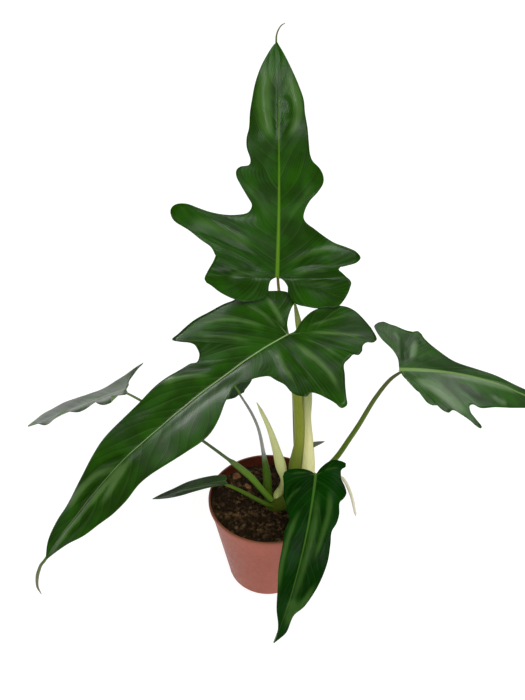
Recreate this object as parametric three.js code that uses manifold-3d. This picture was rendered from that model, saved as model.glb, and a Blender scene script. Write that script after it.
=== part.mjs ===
// Potted green dragon philodendron: seven lobed leaves on a short creeping stem, in a plain tapered pot.
// Millimetres, +Z up, +Y away from the viewer. The origin is the centre of the pot's flat underside.
import * as THREE from "three";
import { mergeVertices } from "three/addons/utils/BufferGeometryUtils.js";
import Module from "manifold-3d";

const wasm = await Module();
wasm.setup();

// Driving dimensions
const GAP = 0.3; // between pieces that touch
const POT_HEIGHT = 107;
const POT_RIM_RADIUS = 60;
const POT_BASE_RADIUS = 40;
const POT_WALL = 1.4;
const POT_FLOOR = 2;
const POT_LIP = 0.8; // how far the rim's bead stands out
const POT_BEAD = 4; // height of the bead
const POT_FOOT = 5; // radius of the rounded foot
const POT_SIDES = 40;
const DRAIN_HOLES = 6;
const DRAIN_RADIUS = 4;
const DRAIN_CIRCLE = 29;
const DRAIN_SIDES = 12;
const SOIL_TOP = 94; // height of the soil's surface at the wall
const SOIL_MOUND = 3; // how much higher it is in the middle
const SOIL_CLODS = 1.2; // height of its unevenness
const SOIL_RINGS = 6;
const CHIP_TILT = 8; // degrees
const CHIP_RAISE = 0.4; // how far the middle of a bark chip lies above the soil
const BLADE_THICKNESS = 0.9;
const BEND_LENGTH = 8; // how gently a blade bends behind its attachment
const SAME_POINT = 0.01; // points of a blade this near each other are one
const PETIOLE_END = 1.1; // radius of a petiole where it meets its blade
const PETIOLE_REACH = 4; // how far it runs under the midrib
const STEM_SIDES = 16;
const PETIOLE_SIDES = 10;
const TAIL_SIDES = 8;
const TUBE_STEPS = 2; // rings from one station of a tube to the next

const COLOURS = {
  pot: 0xa05d4b,
  soil: 0x2b1f12,
  bark: 0x9a6236,
  stem: 0x5d7a2c,
  blade: 0x1d4a12,
  petiole: 0x5f7430,
  sheath: 0xb9b878,
  drySheath: 0xc8c6b4,
  root: 0x4a4a28,
};

// Each leaf: where its blade is attached, the compass direction (azimuth) and slope (rise) that it leaves
// in, its roll about the midrib, the angle that it droops by on the way to its tip, the sideways sweep of its
// tip, and the fold and cup of its cross-section. backLift bends what lies behind the attachment up, or down
// if negative. Outlines are flat leaf coordinates: x to the right of the midrib, seen from above with the tip
// ahead, and y along it. Each half runs from the tip to the notch (front), on to the end of the back lobe
// (back), and along the sinus to the attachment (sinus). rib is the lobe's main vein, from the attachment to
// inside the lobe. rays and backRays count the side veins that the mesh follows, across the steps along each.
// fold is the slope of the left and of the right side, ruffle the height of their margins' waves, and lean how
// far side veins run towards the tip for each millimetre that they run out, at the attachment and at the tip.
const LEAVES = {
  top: {
    attach: [7, 15, 366],
    azimuth: 86, rise: 60, roll: 0, droop: 4, sweep: -8, length: 194,
    rays: 30, backRays: 8, across: 3,
    fold: [0, 0], crease: 12, cup: 0, backLift: 0.8,
    ruffle: [1.2, 1.2], waves: 5, lean: [0.55, 0.55],
    left: {
      front: [[0, 194], [-3, 191], [-9, 182], [-14, 173], [-19, 160], [-22, 147], [-24, 136], [-25, 123],
        [-27, 115], [-27, 107], [-24, 97], [-25, 93], [-33, 91], [-36, 88], [-36, 83], [-33, 77], [-27, 67],
        [-23, 60], [-24, 56], [-27, 53], [-37, 51], [-47, 51], [-59, 53], [-69, 56], [-79, 59], [-88, 58],
        [-92, 54], [-92, 49], [-89, 44], [-77, 37], [-66, 29], [-57, 23], [-53, 16]],
      back: [[-53, 16], [-55, 11], [-60, 2], [-62, -4], [-60, -7]],
      sinus: [[-60, -7], [-56, -9], [-48, -14], [-36, -19], [-24, -21], [-11, -18], [-7, -14], [-7, -9],
        [-6, -4], [-3, -1.2], [0, 0]],
      rib: [[-12, 0], [-38, -7]],
    },
    right: {
      front: [[0, 194], [5, 186], [11, 174], [17, 160], [21, 148], [22, 137], [24, 124], [25, 112],
        [26, 103],
        [28, 98], [34, 92], [37, 86], [37, 80], [33, 73], [26, 65], [22, 57], [21, 51], [23, 47], [30, 42],
        [37, 37], [47, 31], [59, 27], [66, 24], [70, 19], [67, 15], [59, 12], [53, 10.3], [52, 8]],
      back: [[52, 8], [58, 3], [63, -2], [62, -7]],
      sinus: [[62, -7], [61, -10], [57, -17], [52, -22], [44, -23], [36, -24], [26, -23], [17, -21],
        [10, -13], [10, -9], [7, -4], [4, -1.2], [0, 0]],
      rib: [[14, 0], [40, -8]],
    },
  },
  large: {
    attach: [15, -42, 348],
    azimuth: 209, rise: -12, roll: 0, droop: 36, sweep: -14, length: 270,
    rays: 30, backRays: 8, across: 3,
    fold: [0.12, 0.12], crease: 12, cup: 0.1, backLift: -0.2,
    ruffle: [1.2, 1.2], waves: 6, lean: [0.55, 0.55],
    left: {
      front: [[0, 270], [-4, 262], [-12, 245], [-21, 229], [-26, 213], [-31, 197], [-33, 183], [-32, 168],
        [-34, 155], [-38, 139], [-41, 122], [-43, 107], [-41, 96], [-35, 85], [-27, 75], [-24, 69],
        [-19, 63],
        [-19, 57], [-22, 51], [-24, 45], [-27, 39], [-30, 35], [-37, 33], [-46, 30], [-56, 30], [-61, 29],
        [-66, 26], [-69, 23], [-68, 19], [-72, 16], [-80, 13], [-90, 10], [-96, 9], [-96, 4], [-89, 0],
        [-78, -6], [-68, -12], [-56, -19], [-53, -25]],
      back: [[-53, -25], [-51, -31], [-54, -33], [-52, -38], [-46, -43], [-44, -48], [-46, -52], [-44, -57],
        [-37, -60], [-28, -62]],
      sinus: [[-28, -62], [-14, -63], [-3, -63], [5, -60], [11, -53], [14, -45], [16, -36], [13, -25],
        [7, -15], [1, -8], [0, 0]],
      rib: [[-5, -11], [-13, -38]],
    },
    right: {
      front: [[0, 270], [9, 260], [15, 244], [17, 230], [22, 206], [27, 189], [32, 173], [34, 156],
        [33, 131],
        [34, 109], [33, 96], [32, 78], [29, 73], [33, 68], [40, 66], [46, 66], [51, 69], [57, 74], [65, 78],
        [66, 71], [71, 53], [70, 38], [68, 25], [65, 17]],
      back: [[65, 17], [61, 1], [56, -14]],
      sinus: [[56, -14], [46, -27], [34, -27], [28, -20], [22, -14], [14, -8], [7, -4], [0, 0]],
      rib: [[20, -1], [42, -12]],
    },
  },
  right: {
    attach: [122, 24, 255],
    azimuth: -4, rise: 4, roll: -8, droop: 30, sweep: 19, length: 152,
    rays: 25, backRays: 5, across: 3,
    fold: [-0.2, -0.2], crease: 6, cup: 0, backLift: 0,
    ruffle: [0.8, 0.8], waves: 4, lean: [0.4, 2.6],
    left: {
      front: [[0, 152], [-5, 138], [-9, 121], [-12, 98], [-14, 73], [-19, 53], [-33, 38], [-49, 27],
        [-58, 24], [-62, 21], [-60, 16]],
      back: [[-60, 16], [-62, 9], [-69, -2], [-71, -6], [-76, -13], [-75, -18]],
      sinus: [[-75, -18], [-70, -22], [-64, -21], [-47, -15], [-30, -5], [-17, -1], [0, 0]],
      rib: [[-17, 1.5], [-38, -3], [-58, -12]],
    },
    right: {
      front: [[0, 152], [7, 135], [14, 118], [25, 90], [31, 74], [29, 67], [31, 64], [37, 65], [43, 70],
        [49, 75], [51, 74], [50, 70], [46, 64], [42, 56], [39, 48], [42, 44], [40, 38], [36, 34], [36, 29],
        [33, 24], [26, 21], [24, 18], [22, 15], [13, 7]],
      back: [[13, 7], [10, 4.9]],
      sinus: [[10, 4.9], [4, 1.6], [0, 0]],
      rib: [[6, 2.9]],
    },
  },
  front: {
    attach: [44, -38, 179],
    azimuth: 263, rise: -15, roll: 0, droop: 50, sweep: 25, length: 159,
    rays: 25, backRays: 5, across: 3,
    fold: [0.1, 0.1], crease: 8, cup: 0, backLift: 0,
    ruffle: [0.8, 0.8], waves: 4, lean: [0.55, 0.55],
    left: {
      front: [[0, 159], [-4, 153], [-7, 147], [-8, 130], [-14, 122], [-19, 109], [-22, 97], [-24, 80],
        [-23, 64], [-22, 53], [-25, 45], [-26, 37], [-25, 26], [-28, 22], [-30, 17], [-28, 10], [-24, 2],
        [-23, -6]],
      back: [[-23, -6], [-24, -8], [-27, -10], [-27, -14]],
      sinus: [[-27, -14], [-23, -16], [-16, -17], [-11, -15], [-4, -8], [0, 0]],
      rib: [[-17, -9]],
    },
    right: {
      front: [[0, 159], [0.5, 149], [3, 140], [9, 126], [14, 106], [18, 88], [19, 73], [20, 56], [18, 47],
        [20, 41], [23, 35], [25, 29], [27, 25], [28, 15], [30, 6]],
      back: [[30, 6], [29, 1]],
      sinus: [[29, 1], [24, -3], [13, -5], [4, -3], [0, 0]],
      rib: [[18, 0.5]],
    },
  },
  far_left: {
    attach: [-142, 61, 198],
    azimuth: 171, rise: -31, roll: -13, droop: 3, sweep: 10, length: 140,
    rays: 23, backRays: 5, across: 3,
    fold: [0.2, 0.1], crease: 6, cup: 0, backLift: 0,
    ruffle: [3, 0.3], waves: 4, lean: [0.55, 0.55],
    left: {
      front: [[0, 140], [-4, 126], [-8, 116], [-12, 107], [-14, 96], [-11, 84], [-9, 74], [-12, 64],
        [-14, 54],
        [-11, 44], [-10, 35], [-16, 28], [-25, 20], [-29, 11], [-26, 5]],
      back: [[-26, 5], [-24, 0]],
      sinus: [[-24, 0], [-18, -5], [-11, -6], [-4, -3], [0, 0]],
      rib: [[-8, 0], [-16, -1]],
    },
    right: {
      front: [[0, 140], [8, 137], [17, 128], [23, 112], [26, 96], [26, 78], [23, 62], [22, 47], [26, 36],
        [33, 22]],
      back: [[33, 22], [39, 12], [46, 1], [49, -2]],
      sinus: [[49, -2], [45, -2], [37, 2], [28, 4], [20, 4], [13, 2], [6, -1], [0, 0]],
      rib: [[13, 4.5], [28, 6], [42, 0.5]],
    },
  },
  young: {
    attach: [-43, 0, 130],
    azimuth: 187, rise: -4, roll: -14, droop: 14, sweep: 0, length: 74,
    rays: 12, backRays: 3, across: 2,
    fold: [0.15, 0.15], crease: 4, cup: 0, backLift: 0,
    ruffle: [0.3, 0.3], waves: 2, lean: [0.55, 0.55],
    left: {
      front: [[0, 74], [-5, 67], [-10, 55], [-11, 44], [-10, 34], [-9, 20], [-8, 9]],
      back: [[-8, 9], [-7, 2]],
      sinus: [[-7, 2], [-5, -2], [-2.5, -2], [0, 0]],
      rib: [[-4, 1]],
    },
    right: {
      front: [[0, 74], [3, 64], [6, 52], [10, 38], [11, 23], [11.5, 9]],
      back: [[11.5, 9], [11, 3]],
      sinus: [[11, 3], [9, -1.5], [5, -2.5], [2, -1.5], [0, 0]],
      rib: [[6, 1.5]],
    },
  },
  rear: {
    attach: [-28, 55, 197],
    azimuth: 112, rise: -5, roll: 0, droop: 25, sweep: 4, length: 120,
    rays: 20, backRays: 4, across: 2,
    fold: [0.1, 0.1], crease: 8, cup: 0.1, backLift: 0.3,
    ruffle: [1, 1], waves: 4, lean: [0.2, 0.6],
    left: {
      front: [[0, 120], [-7, 110], [-14, 96], [-17, 82], [-17, 70], [-22, 60], [-21, 52], [-16, 43],
        [-22, 37], [-34, 36], [-43, 37], [-46, 32], [-41, 23], [-34, 14], [-30, 8]],
      back: [[-30, 8], [-28, 1], [-23, -3]],
      sinus: [[-23, -3], [-17, -4], [-10, -4], [-5, -3], [-2, -1], [0, 0]],
      rib: [[-9, -0.5], [-16, -2]],
    },
    right: {
      front: [[0, 120], [8, 108], [14, 94], [17, 80], [18, 70], [23, 58], [21, 48], [16, 42], [22, 40],
        [34, 40], [40, 36], [36, 31], [27, 27], [22, 24], [20, 18],
        [16, 13], [12, 9], [8, 5]],
      back: [[8, 5], [6.5, 3.6]],
      sinus: [[6.5, 3.6], [4, 1], [0, 0]],
      rib: [[4, 1.9]],
    },
  },
};

// Stations of the stem and of what grows from it: x, y, z, half-width and half-depth, from the root end up
const STEM = [
  [-6, 4, 66, 5.5, 5.5], [-1, 1, 84, 6.5, 6], [4, -3, 96, 7, 6.5], [12, -6, 102, 7.5, 7],
  [21, -6, 109, 9, 8.5],
  [29, -3, 120, 11.5, 9.5], [32.5, -1, 131, 13, 10], [32.5, -1, 138, 13, 10],
];
// Each petiole but for its last station, which its blade sets
const PETIOLES = {
  large: [
    [26, -4, 138.3, 6, 6.5], [26, -4, 155, 6.1, 6.5], [29, -4, 189, 4.4, 5.6], [28.5, -4, 216, 4.6, 5],
    [26.2, -5, 245, 4.4, 4.7], [22.5, -14, 285, 3.4, 3.6], [18, -29, 325, 2.4, 2.6],
  ],
  top: [
    [31, 6.3, 138.3, 3.6, 3.1], [29, 6.5, 160, 3.8, 3.2], [27, 6, 200, 3.6, 3.2], [24.5, 6, 245, 3.2, 3.2],
    [19, 9, 290, 2.2, 2.2], [11.5, 13, 334.3, 1.5, 1.5], [8.4, 16.4, 353.5, 1.3, 1.3],
  ],
  right: [
    [31, -1, 121, 3.4], [42, 1, 127, 3.2], [54, 3, 141, 2.9], [67, 4, 160, 2.7], [78.5, 7, 182, 2.5],
    [86, 9, 197, 2.4], [101, 15, 228, 2.1], [114.3, 20.5, 246.3, 1.8],
  ],
  front: [[31, -5, 122, 3.2], [36, -15, 136, 2.8], [41, -27, 160, 2.2], [43.5, -34, 172, 1.8]],
  far_left: [
    [8, -4, 100, 2.8], [-4, 2, 112, 2.7], [-18, 8, 128.5, 2.5], [-36, 15, 142, 2.2], [-65, 30, 156.4, 1.8],
    [-98, 44, 173, 1.5], [-128, 55, 188.8, 1.3],
  ],
  young: [[9, -8, 101, 2.6], [0, -8, 104.5, 2.5], [-16, -3.5, 111, 2.2], [-30, -1, 119, 1.8]],
  rear: [
    [2, 0, 94, 4.2, 4.2], [0, 8, 104, 4.6, 3.8], [-0.5, 11, 113, 4.4, 3.4], [-1, 14, 124, 3.8, 2.8],
    [-4.8, 25, 146.4, 2.2, 2], [-9.3, 36, 166, 1.9, 1.9], [-16.3, 45, 180, 1.7, 1.7],
  ],
};
const NEW_LEAF = [
  [38.9, -4, 138.3, 6, 6.5], [39, -4, 155, 6.3, 6.5], [38.2, -2, 189, 4.3, 5.2], [36.2, -1, 216, 3.6, 4.6],
  [35.6, -1, 245, 4.2, 4.2], [31, 5, 290, 3.2, 3.2], [26, 11, 320, 2.2, 2.2], [22.3, 15, 340, 0.5, 0.5],
];
const CATAPHYLL_LEFT = [
  [12, -3, 101, 4, 4], [11, 4, 105, 5.6, 4.6], [14, 5, 115, 3.8, 3.4], [15.2, 3, 129, 2.8, 2.6],
  [12.6, 2, 149, 6.2, 2.6], [7.6, 2, 173.5, 4.8, 2.2], [1.2, 2, 199.6, 3, 1.8], [-6.3, 2, 221.7, 1.6, 1.2],
  [-10.8, 2, 233.5, 0.4, 0.4],
];
const CATAPHYLL_RIGHT = [
  [33, -4, 117, 2.2, 1.2], [46, -6, 127, 2.2, 1.1], [58, -5, 138, 2.2, 1.1], [68, -5, 143, 2.2, 1],
  [74, -7, 140, 2, 1], [81, -17, 130, 1.6, 0.9], [85.5, -30, 115, 0.6, 0.5],
];
const ROOT_NUB = [[40, -2, 183, 2.2], [46, -2.5, 185, 1.9], [53.5, -3, 188, 0.5]];
// Drip tips, drawn out and dried, fused to their blades
const TAILS = {
  top: [
    [6.1, 116, 526, 0.9], [5.9, 119.5, 530.5, 0.8], [6.1, 120.5, 535, 0.7], [7.7, 120.5, 540, 0.6],
    [10.1, 120.5, 543.5, 0.5], [12.9, 120.5, 545.3, 0.3],
  ],
  large: [
    [-176.5, -161, 219.5, 1.1], [-181.1, -165, 213.6, 1.2], [-185.2, -165, 207.3, 1.3],
    [-187.8, -165, 200.8, 1.4], [-190.4, -165, 192.2, 1.4], [-192.1, -165, 179, 1],
    [-190.4, -165, 169.2, 0.3],
  ],
};
const CHIPS = [
  { at: [-33, 37], size: [5, 3.4, 1.6], turn: 20 },
  { at: [-20.5, 24.5], size: [4.6, 2.8, 1.5], turn: -35 },
  { at: [24, 33], size: [4.2, 3, 1.5], turn: 70 },
  { at: [-27, -22], size: [4.4, 2.6, 1.4], turn: 130 },
  { at: [2, -40], size: [3.8, 2.6, 1.4], turn: -10 },
];

const rad = THREE.MathUtils.degToRad;
const vec = ([x, y, z = 0]) => new THREE.Vector3(x, y, z);

// Closed meshes to manifold solids and back
function toSolid(geometry) {
  const bare = geometry.clone();
  bare.deleteAttribute("normal");
  bare.deleteAttribute("uv");
  const merged = mergeVertices(bare, 1e-4);
  return new wasm.Manifold(
    new wasm.Mesh({
      numProp: 3,
      vertProperties: merged.attributes.position.array,
      triVerts: new Uint32Array(merged.index.array),
    }),
  );
}

function toGeometry(solid) {
  const mesh = solid.getMesh();
  const positions = new Float32Array(mesh.vertProperties);
  return new THREE.BufferGeometry()
    .setAttribute("position", new THREE.BufferAttribute(positions, 3))
    .setIndex(new THREE.BufferAttribute(mesh.triVerts, 1));
}

function meshFrom(points, triangles) {
  const positions = new Float32Array(points.flatMap((p) => [p.x, p.y, p.z]));
  return new THREE.BufferGeometry()
    .setAttribute("position", new THREE.BufferAttribute(positions, 3))
    .setIndex(triangles.flat());
}

// A smooth curve through flat points, as a number of equal steps
function smooth(points, steps) {
  return new THREE.CatmullRomCurve3(points.map(vec), false, "centripetal").getSpacedPoints(steps);
}

// The blade's axes at its attachment: t along the midrib, s to its right, n out of the upper face
function leafAxes({ azimuth, rise, roll }) {
  const [a, e, r] = [azimuth, rise, roll].map(rad);
  const t = vec([Math.cos(e) * Math.cos(a), Math.cos(e) * Math.sin(a), Math.sin(e)]);
  const level = new THREE.Vector3().crossVectors(t, vec([0, 0, 1])).normalize();
  const up = new THREE.Vector3().crossVectors(level, t);
  const s = level.clone().multiplyScalar(Math.cos(r)).addScaledVector(up, Math.sin(r));
  const n = up.clone().multiplyScalar(Math.cos(r)).addScaledVector(level, -Math.sin(r));
  return { t, s, n };
}

// The point of the bent blade over flat leaf coordinates, raised by extra along its normal
function leafPoint(leaf, x, y, extra = 0) {
  const { t, s, n } = leafAxes(leaf);
  const ahead = Math.max(y / leaf.length, 0);
  const behind = Math.max(-y, 0);
  const bend = rad(leaf.droop);
  const turn = bend * ahead;
  const along = y > 0 ? (leaf.length / bend) * Math.sin(turn) : y;
  const fall = (leaf.length / bend) * (1 - Math.cos(turn));
  const lift =
    leaf.fold[x > 0 ? 1 : 0] * (Math.hypot(x, leaf.crease) - leaf.crease) -
    (leaf.cup * x * x) / 100 +
    (leaf.backLift * behind * behind) / (behind + BEND_LENGTH) +
    extra;
  return vec(leaf.attach)
    .addScaledVector(t, along + lift * Math.sin(turn))
    .addScaledVector(n, lift * Math.cos(turn) - fall)
    .addScaledVector(s, x + leaf.sweep * ahead * ahead);
}

// How far along the midrib each front ray starts: veins lean to the tip, and both halves share the starts
function rayStarts(leaf, margins) {
  const starts = margins[0].map((_, i) => {
    const wanted = margins.map((m) => {
      const lean = THREE.MathUtils.lerp(...leaf.lean, m[i].y / leaf.length);
      return Math.max(m[i].y - lean * Math.abs(m[i].x), 0);
    });
    return (wanted[0] + wanted[1]) / 2;
  });
  starts[0] = leaf.length;
  for (let i = 1; i < starts.length; i++) starts[i] = Math.min(starts[i], starts[i - 1]);
  const last = starts[starts.length - 1];
  return starts.map((y) => (leaf.length * (y - last)) / (leaf.length - last));
}

// The rays of one half, from the tip round the back lobe to the attachment
function halfRays(half, starts, margin, count) {
  const rays = margin.map((to, i) => ({ from: vec([0, starts[i]]), to }));
  const rib = smooth([[0, 0], ...half.rib], count);
  const outer = smooth(half.back, count);
  const inner = smooth(half.sinus, count);
  for (let i = 1; i <= count; i++) rays.push({ from: rib[i], to: outer[i] });
  for (let i = 1; i <= count; i++) rays.push({ from: rib[count - i], to: inner[i] });
  return rays;
}

// The blade's flat net, seen from above: its points with their share of the margin's waves, faces and margin
function bladeNet(leaf) {
  const halves = [leaf.left, leaf.right];
  const margins = halves.map((half) => smooth(half.front, leaf.rays));
  const starts = rayStarts(leaf, margins);
  const places = new Map();
  const points = [];
  const place = (p, wave) => {
    const key = Math.round(p.x / SAME_POINT) + " " + Math.round(p.y / SAME_POINT);
    if (!places.has(key)) places.set(key, points.push({ p, wave }) - 1);
    return places.get(key);
  };
  const faces = [];
  const edges = halves.map((half, side) => {
    const rays = halfRays(half, starts, margins[side], leaf.backRays);
    const rows = rays.map(({ from, to }, i) => {
      const wave = leaf.ruffle[side] * Math.sin((2 * Math.PI * leaf.waves * i) / rays.length + side);
      return Array.from({ length: leaf.across + 1 }, (_, j) => {
        const k = j / leaf.across;
        return place(from.clone().lerp(to, k), wave * k * k);
      });
    });
    for (let i = 0; i + 1 < rows.length; i++)
      for (let j = 0; j < leaf.across; j++) {
        const [a, b, c, d] = [rows[i][j], rows[i][j + 1], rows[i + 1][j + 1], rows[i + 1][j]];
        for (const face of [[a, b, c], [a, c, d]])
          if (new Set(face).size === 3) faces.push(side ? face.toReversed() : face);
      }
    return rows.map((row) => row[leaf.across]);
  });
  const margin = [...edges[0], ...edges[1].toReversed().slice(1, -1)];
  return { points, faces, margin };
}

// A closed blade of two alike faces, grow thicker on each
function bladeGeometry(leaf, grow = 0) {
  const { points, faces, margin } = bladeNet(leaf);
  const middle = points.map(({ p, wave }) => leafPoint(leaf, p.x, p.y, wave));
  const sheet = meshFrom(middle, faces);
  sheet.computeVertexNormals();
  const normals = middle.map((_, i) => new THREE.Vector3().fromBufferAttribute(sheet.attributes.normal, i));
  const face = (height) => middle.map((p, i) => p.clone().addScaledVector(normals[i], height));
  const upper = face(BLADE_THICKNESS / 2 + grow);
  const lower = face(-BLADE_THICKNESS / 2 - grow);
  const n = middle.length;
  const rim = margin.flatMap((a, i) => {
    const b = margin[(i + 1) % margin.length];
    return [[a, a + n, b + n], [a, b + n, b]];
  });
  const under = faces.map((f) => f.map((i) => i + n).toReversed());
  return meshFrom([...upper, ...lower], [...faces, ...under, ...rim]);
}

// A closed tube through stations of x, y, z, half-width and half-depth, grow wider all round
function tube(stations, sides, grow = 0) {
  const curve = (points) => new THREE.CatmullRomCurve3(points, false, "centripetal");
  const path = curve(stations.map(vec));
  const sizes = curve(stations.map(([, , , w, d = w]) => vec([w, d])));
  const steps = (stations.length - 1) * TUBE_STEPS;
  const points = [];
  const faces = [];
  const wide = vec([1, 0, 0]);
  const deep = new THREE.Vector3();
  for (let i = 0; i <= steps; i++) {
    const size = sizes.getPoint(i / steps);
    const along = path.getTangent(i / steps);
    const beyond = grow * ((i === steps) - (i === 0));
    const at = path.getPoint(i / steps).addScaledVector(along, beyond);
    wide.addScaledVector(along, -wide.dot(along)).normalize();
    deep.crossVectors(along, wide);
    for (let j = 0; j < sides; j++) {
      const a = (2 * Math.PI * j) / sides;
      const [w, d] = [(size.x + grow) * Math.cos(a), (size.y + grow) * Math.sin(a)];
      points.push(at.clone().addScaledVector(wide, w).addScaledVector(deep, d));
      const next = (j + 1) % sides;
      const [p, q] = [i * sides + j, i * sides + next];
      if (i < steps) faces.push([p, q, q + sides], [p, q + sides, p + sides]);
    }
  }
  const middle = (first) => {
    const ring = points.slice(first, first + sides);
    return ring.reduce((sum, p) => sum.add(p), vec([0, 0])).divideScalar(sides);
  };
  const ends = [points.push(middle(0)) - 1, points.push(middle(steps * sides)) - 1];
  for (let j = 0; j < sides; j++) {
    const [p, q] = [j, (j + 1) % sides];
    faces.push([ends[0], q, p], [ends[1], p + steps * sides, q + steps * sides]);
  }
  return meshFrom(points, faces);
}

const group = new THREE.Group();

function add(name, geometry, color, roughness = 0.5) {
  const flat = geometry.index ? geometry.toNonIndexed() : geometry;
  flat.computeVertexNormals();
  const mesh = new THREE.Mesh(flat, new THREE.MeshStandardMaterial({ color, roughness, metalness: 0 }));
  mesh.name = name;
  group.add(mesh);
}

// Pot: a tapered wall with a rounded foot and a slight bead at the rim, open at the top, with drain holes
function potOuter(z) {
  return THREE.MathUtils.lerp(POT_BASE_RADIUS, POT_RIM_RADIUS - POT_LIP, z / POT_HEIGHT);
}

function potGeometry() {
  const foot = [0, 30, 60, 90].map((a) => {
    const [c, s] = [Math.cos(rad(a)), Math.sin(rad(a))];
    return [potOuter(POT_FOOT) - POT_FOOT * (1 - s), POT_FOOT * (1 - c)];
  });
  const profile = [
    [0, 0], ...foot,
    [potOuter(POT_HEIGHT - POT_BEAD), POT_HEIGHT - POT_BEAD],
    [POT_RIM_RADIUS, POT_HEIGHT - POT_BEAD + POT_LIP],
    [POT_RIM_RADIUS, POT_HEIGHT - POT_LIP / 2],
    [POT_RIM_RADIUS - POT_LIP / 2, POT_HEIGHT],
    [potOuter(POT_HEIGHT) - POT_WALL, POT_HEIGHT],
    [potOuter(POT_FLOOR) - POT_WALL, POT_FLOOR],
    [0, POT_FLOOR],
  ];
  const wall = new THREE.LatheGeometry(profile.map(([r, z]) => new THREE.Vector2(r, z)), POT_SIDES);
  wall.rotateX(Math.PI / 2);
  let pot = toSolid(wall);
  for (let i = 0; i < DRAIN_HOLES; i++) {
    const a = (2 * Math.PI * i) / DRAIN_HOLES;
    const hole = new THREE.CylinderGeometry(DRAIN_RADIUS, DRAIN_RADIUS, 4 * POT_FLOOR, DRAIN_SIDES);
    hole.rotateX(Math.PI / 2);
    hole.translate(DRAIN_CIRCLE * Math.cos(a), DRAIN_CIRCLE * Math.sin(a), POT_FLOOR / 2);
    pot = pot.subtract(toSolid(hole));
  }
  return toGeometry(pot);
}

// Soil: fills the pot to below its rim, mounded and uneven on top
function soilHeight(x, y) {
  const inward = 1 - (x * x + y * y) / potOuter(SOIL_TOP) ** 2;
  const clods = Math.sin(0.35 * x + 1) * Math.cos(0.31 * y) + 0.7 * Math.sin(0.8 * x + 0.6 * y);
  return SOIL_TOP + inward * (SOIL_MOUND + SOIL_CLODS * clods);
}

function soilSolid() {
  const bottom = POT_FLOOR + GAP;
  const radius = (z) => potOuter(z) - POT_WALL - GAP;
  const points = [vec([0, 0, bottom]), vec([0, 0, soilHeight(0, 0)])];
  const faces = [];
  const ring = (r, height) => {
    const first = points.length;
    for (let j = 0; j < POT_SIDES; j++) {
      const a = (2 * Math.PI * j) / POT_SIDES;
      const [x, y] = [r * Math.cos(a), r * Math.sin(a)];
      points.push(vec([x, y, height(x, y)]));
    }
    return first;
  };
  const rings = [ring(radius(bottom), () => bottom)];
  for (let i = SOIL_RINGS; i > 0; i--) rings.push(ring((radius(SOIL_TOP) * i) / SOIL_RINGS, soilHeight));
  for (let j = 0; j < POT_SIDES; j++) {
    const k = (j + 1) % POT_SIDES;
    faces.push([0, rings[0] + k, rings[0] + j], [1, rings.at(-1) + j, rings.at(-1) + k]);
    for (let i = 0; i + 1 < rings.length; i++) {
      const [a, b, c, d] = [rings[i] + j, rings[i] + k, rings[i + 1] + k, rings[i + 1] + j];
      faces.push([a, b, c], [a, c, d]);
    }
  }
  return toSolid(meshFrom(points, faces));
}

// Bark chips, half sunk in the soil
function chipGeometry({ at: [x, y], size, turn }, grow = 0) {
  const chip = new THREE.IcosahedronGeometry(1, 1);
  chip.scale(...size.map((half) => half + grow));
  chip.rotateX(rad(CHIP_TILT)).rotateZ(rad(turn));
  return chip.translate(x, y, soilHeight(x, y) + CHIP_RAISE);
}

// The stem and what grows from it. Each piece starts inside what carries it and is cut back to a fine gap.
// Each petiole ends against its blade and is cut back likewise.
const grownStem = toSolid(tube(STEM, STEM_SIDES, GAP));
const grownTube = (stations) => toSolid(tube(stations, PETIOLE_SIDES, GAP));

function petioleStations(name) {
  const leaf = LEAVES[name];
  const end = leafPoint(leaf, 0, PETIOLE_REACH, -BLADE_THICKNESS);
  return [...PETIOLES[name], [...end.toArray(), PETIOLE_END]];
}

// What is left of a piece below the solids that cut it
function cutBack(geometry, cutters) {
  const left = cutters.reduce((piece, cutter) => piece.subtract(cutter), toSolid(geometry));
  return toGeometry(left.decompose().reduce((a, b) => (a.volume() > b.volume() ? a : b)));
}

function addPetiole(name, neighbours) {
  const blade = toSolid(bladeGeometry(LEAVES[name], GAP));
  const geometry = tube(petioleStations(name), PETIOLE_SIDES);
  add("petiole_" + name, cutBack(geometry, [grownStem, blade, ...neighbours]), COLOURS.petiole);
}

function addBlade(name, leaf) {
  const blade = toSolid(bladeGeometry(leaf));
  const whole = TAILS[name] ? blade.add(toSolid(tube(TAILS[name], TAIL_SIDES))) : blade;
  add("blade_" + name, toGeometry(whole), COLOURS.blade, 0.3);
}

function addPlant() {
  add("stem", tube(STEM, STEM_SIDES), COLOURS.stem);
  const large = grownTube(petioleStations("large"));
  const spike = grownTube(NEW_LEAF);
  addPetiole("large", []);
  add("new_leaf_spike", cutBack(tube(NEW_LEAF, PETIOLE_SIDES), [large]), COLOURS.sheath);
  addPetiole("top", [large, spike]);
  for (const name of ["right", "front", "far_left", "young", "rear"]) addPetiole(name, []);
  add("cataphyll_left", cutBack(tube(CATAPHYLL_LEFT, PETIOLE_SIDES), [grownStem]), COLOURS.sheath);
  add("cataphyll_right", cutBack(tube(CATAPHYLL_RIGHT, PETIOLE_SIDES), [grownStem]), COLOURS.drySheath);
  add("root_nub", cutBack(tube(ROOT_NUB, PETIOLE_SIDES), [spike]), COLOURS.root);
  for (const [name, leaf] of Object.entries(LEAVES)) addBlade(name, leaf);
}

function addPot() {
  add("pot", potGeometry(), COLOURS.pot, 0.6);
  const chips = CHIPS.map((chip) => toSolid(chipGeometry(chip, GAP)));
  const sunk = [grownStem, grownTube(petioleStations("rear")), ...chips];
  const soil = sunk.reduce((left, cutter) => left.subtract(cutter), soilSolid());
  add("soil", toGeometry(soil), COLOURS.soil, 0.95);
  CHIPS.forEach((chip, i) => add("bark_chip_" + (i + 1), chipGeometry(chip), COLOURS.bark, 0.9));
}

addPot();
addPlant();
export default group;
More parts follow.
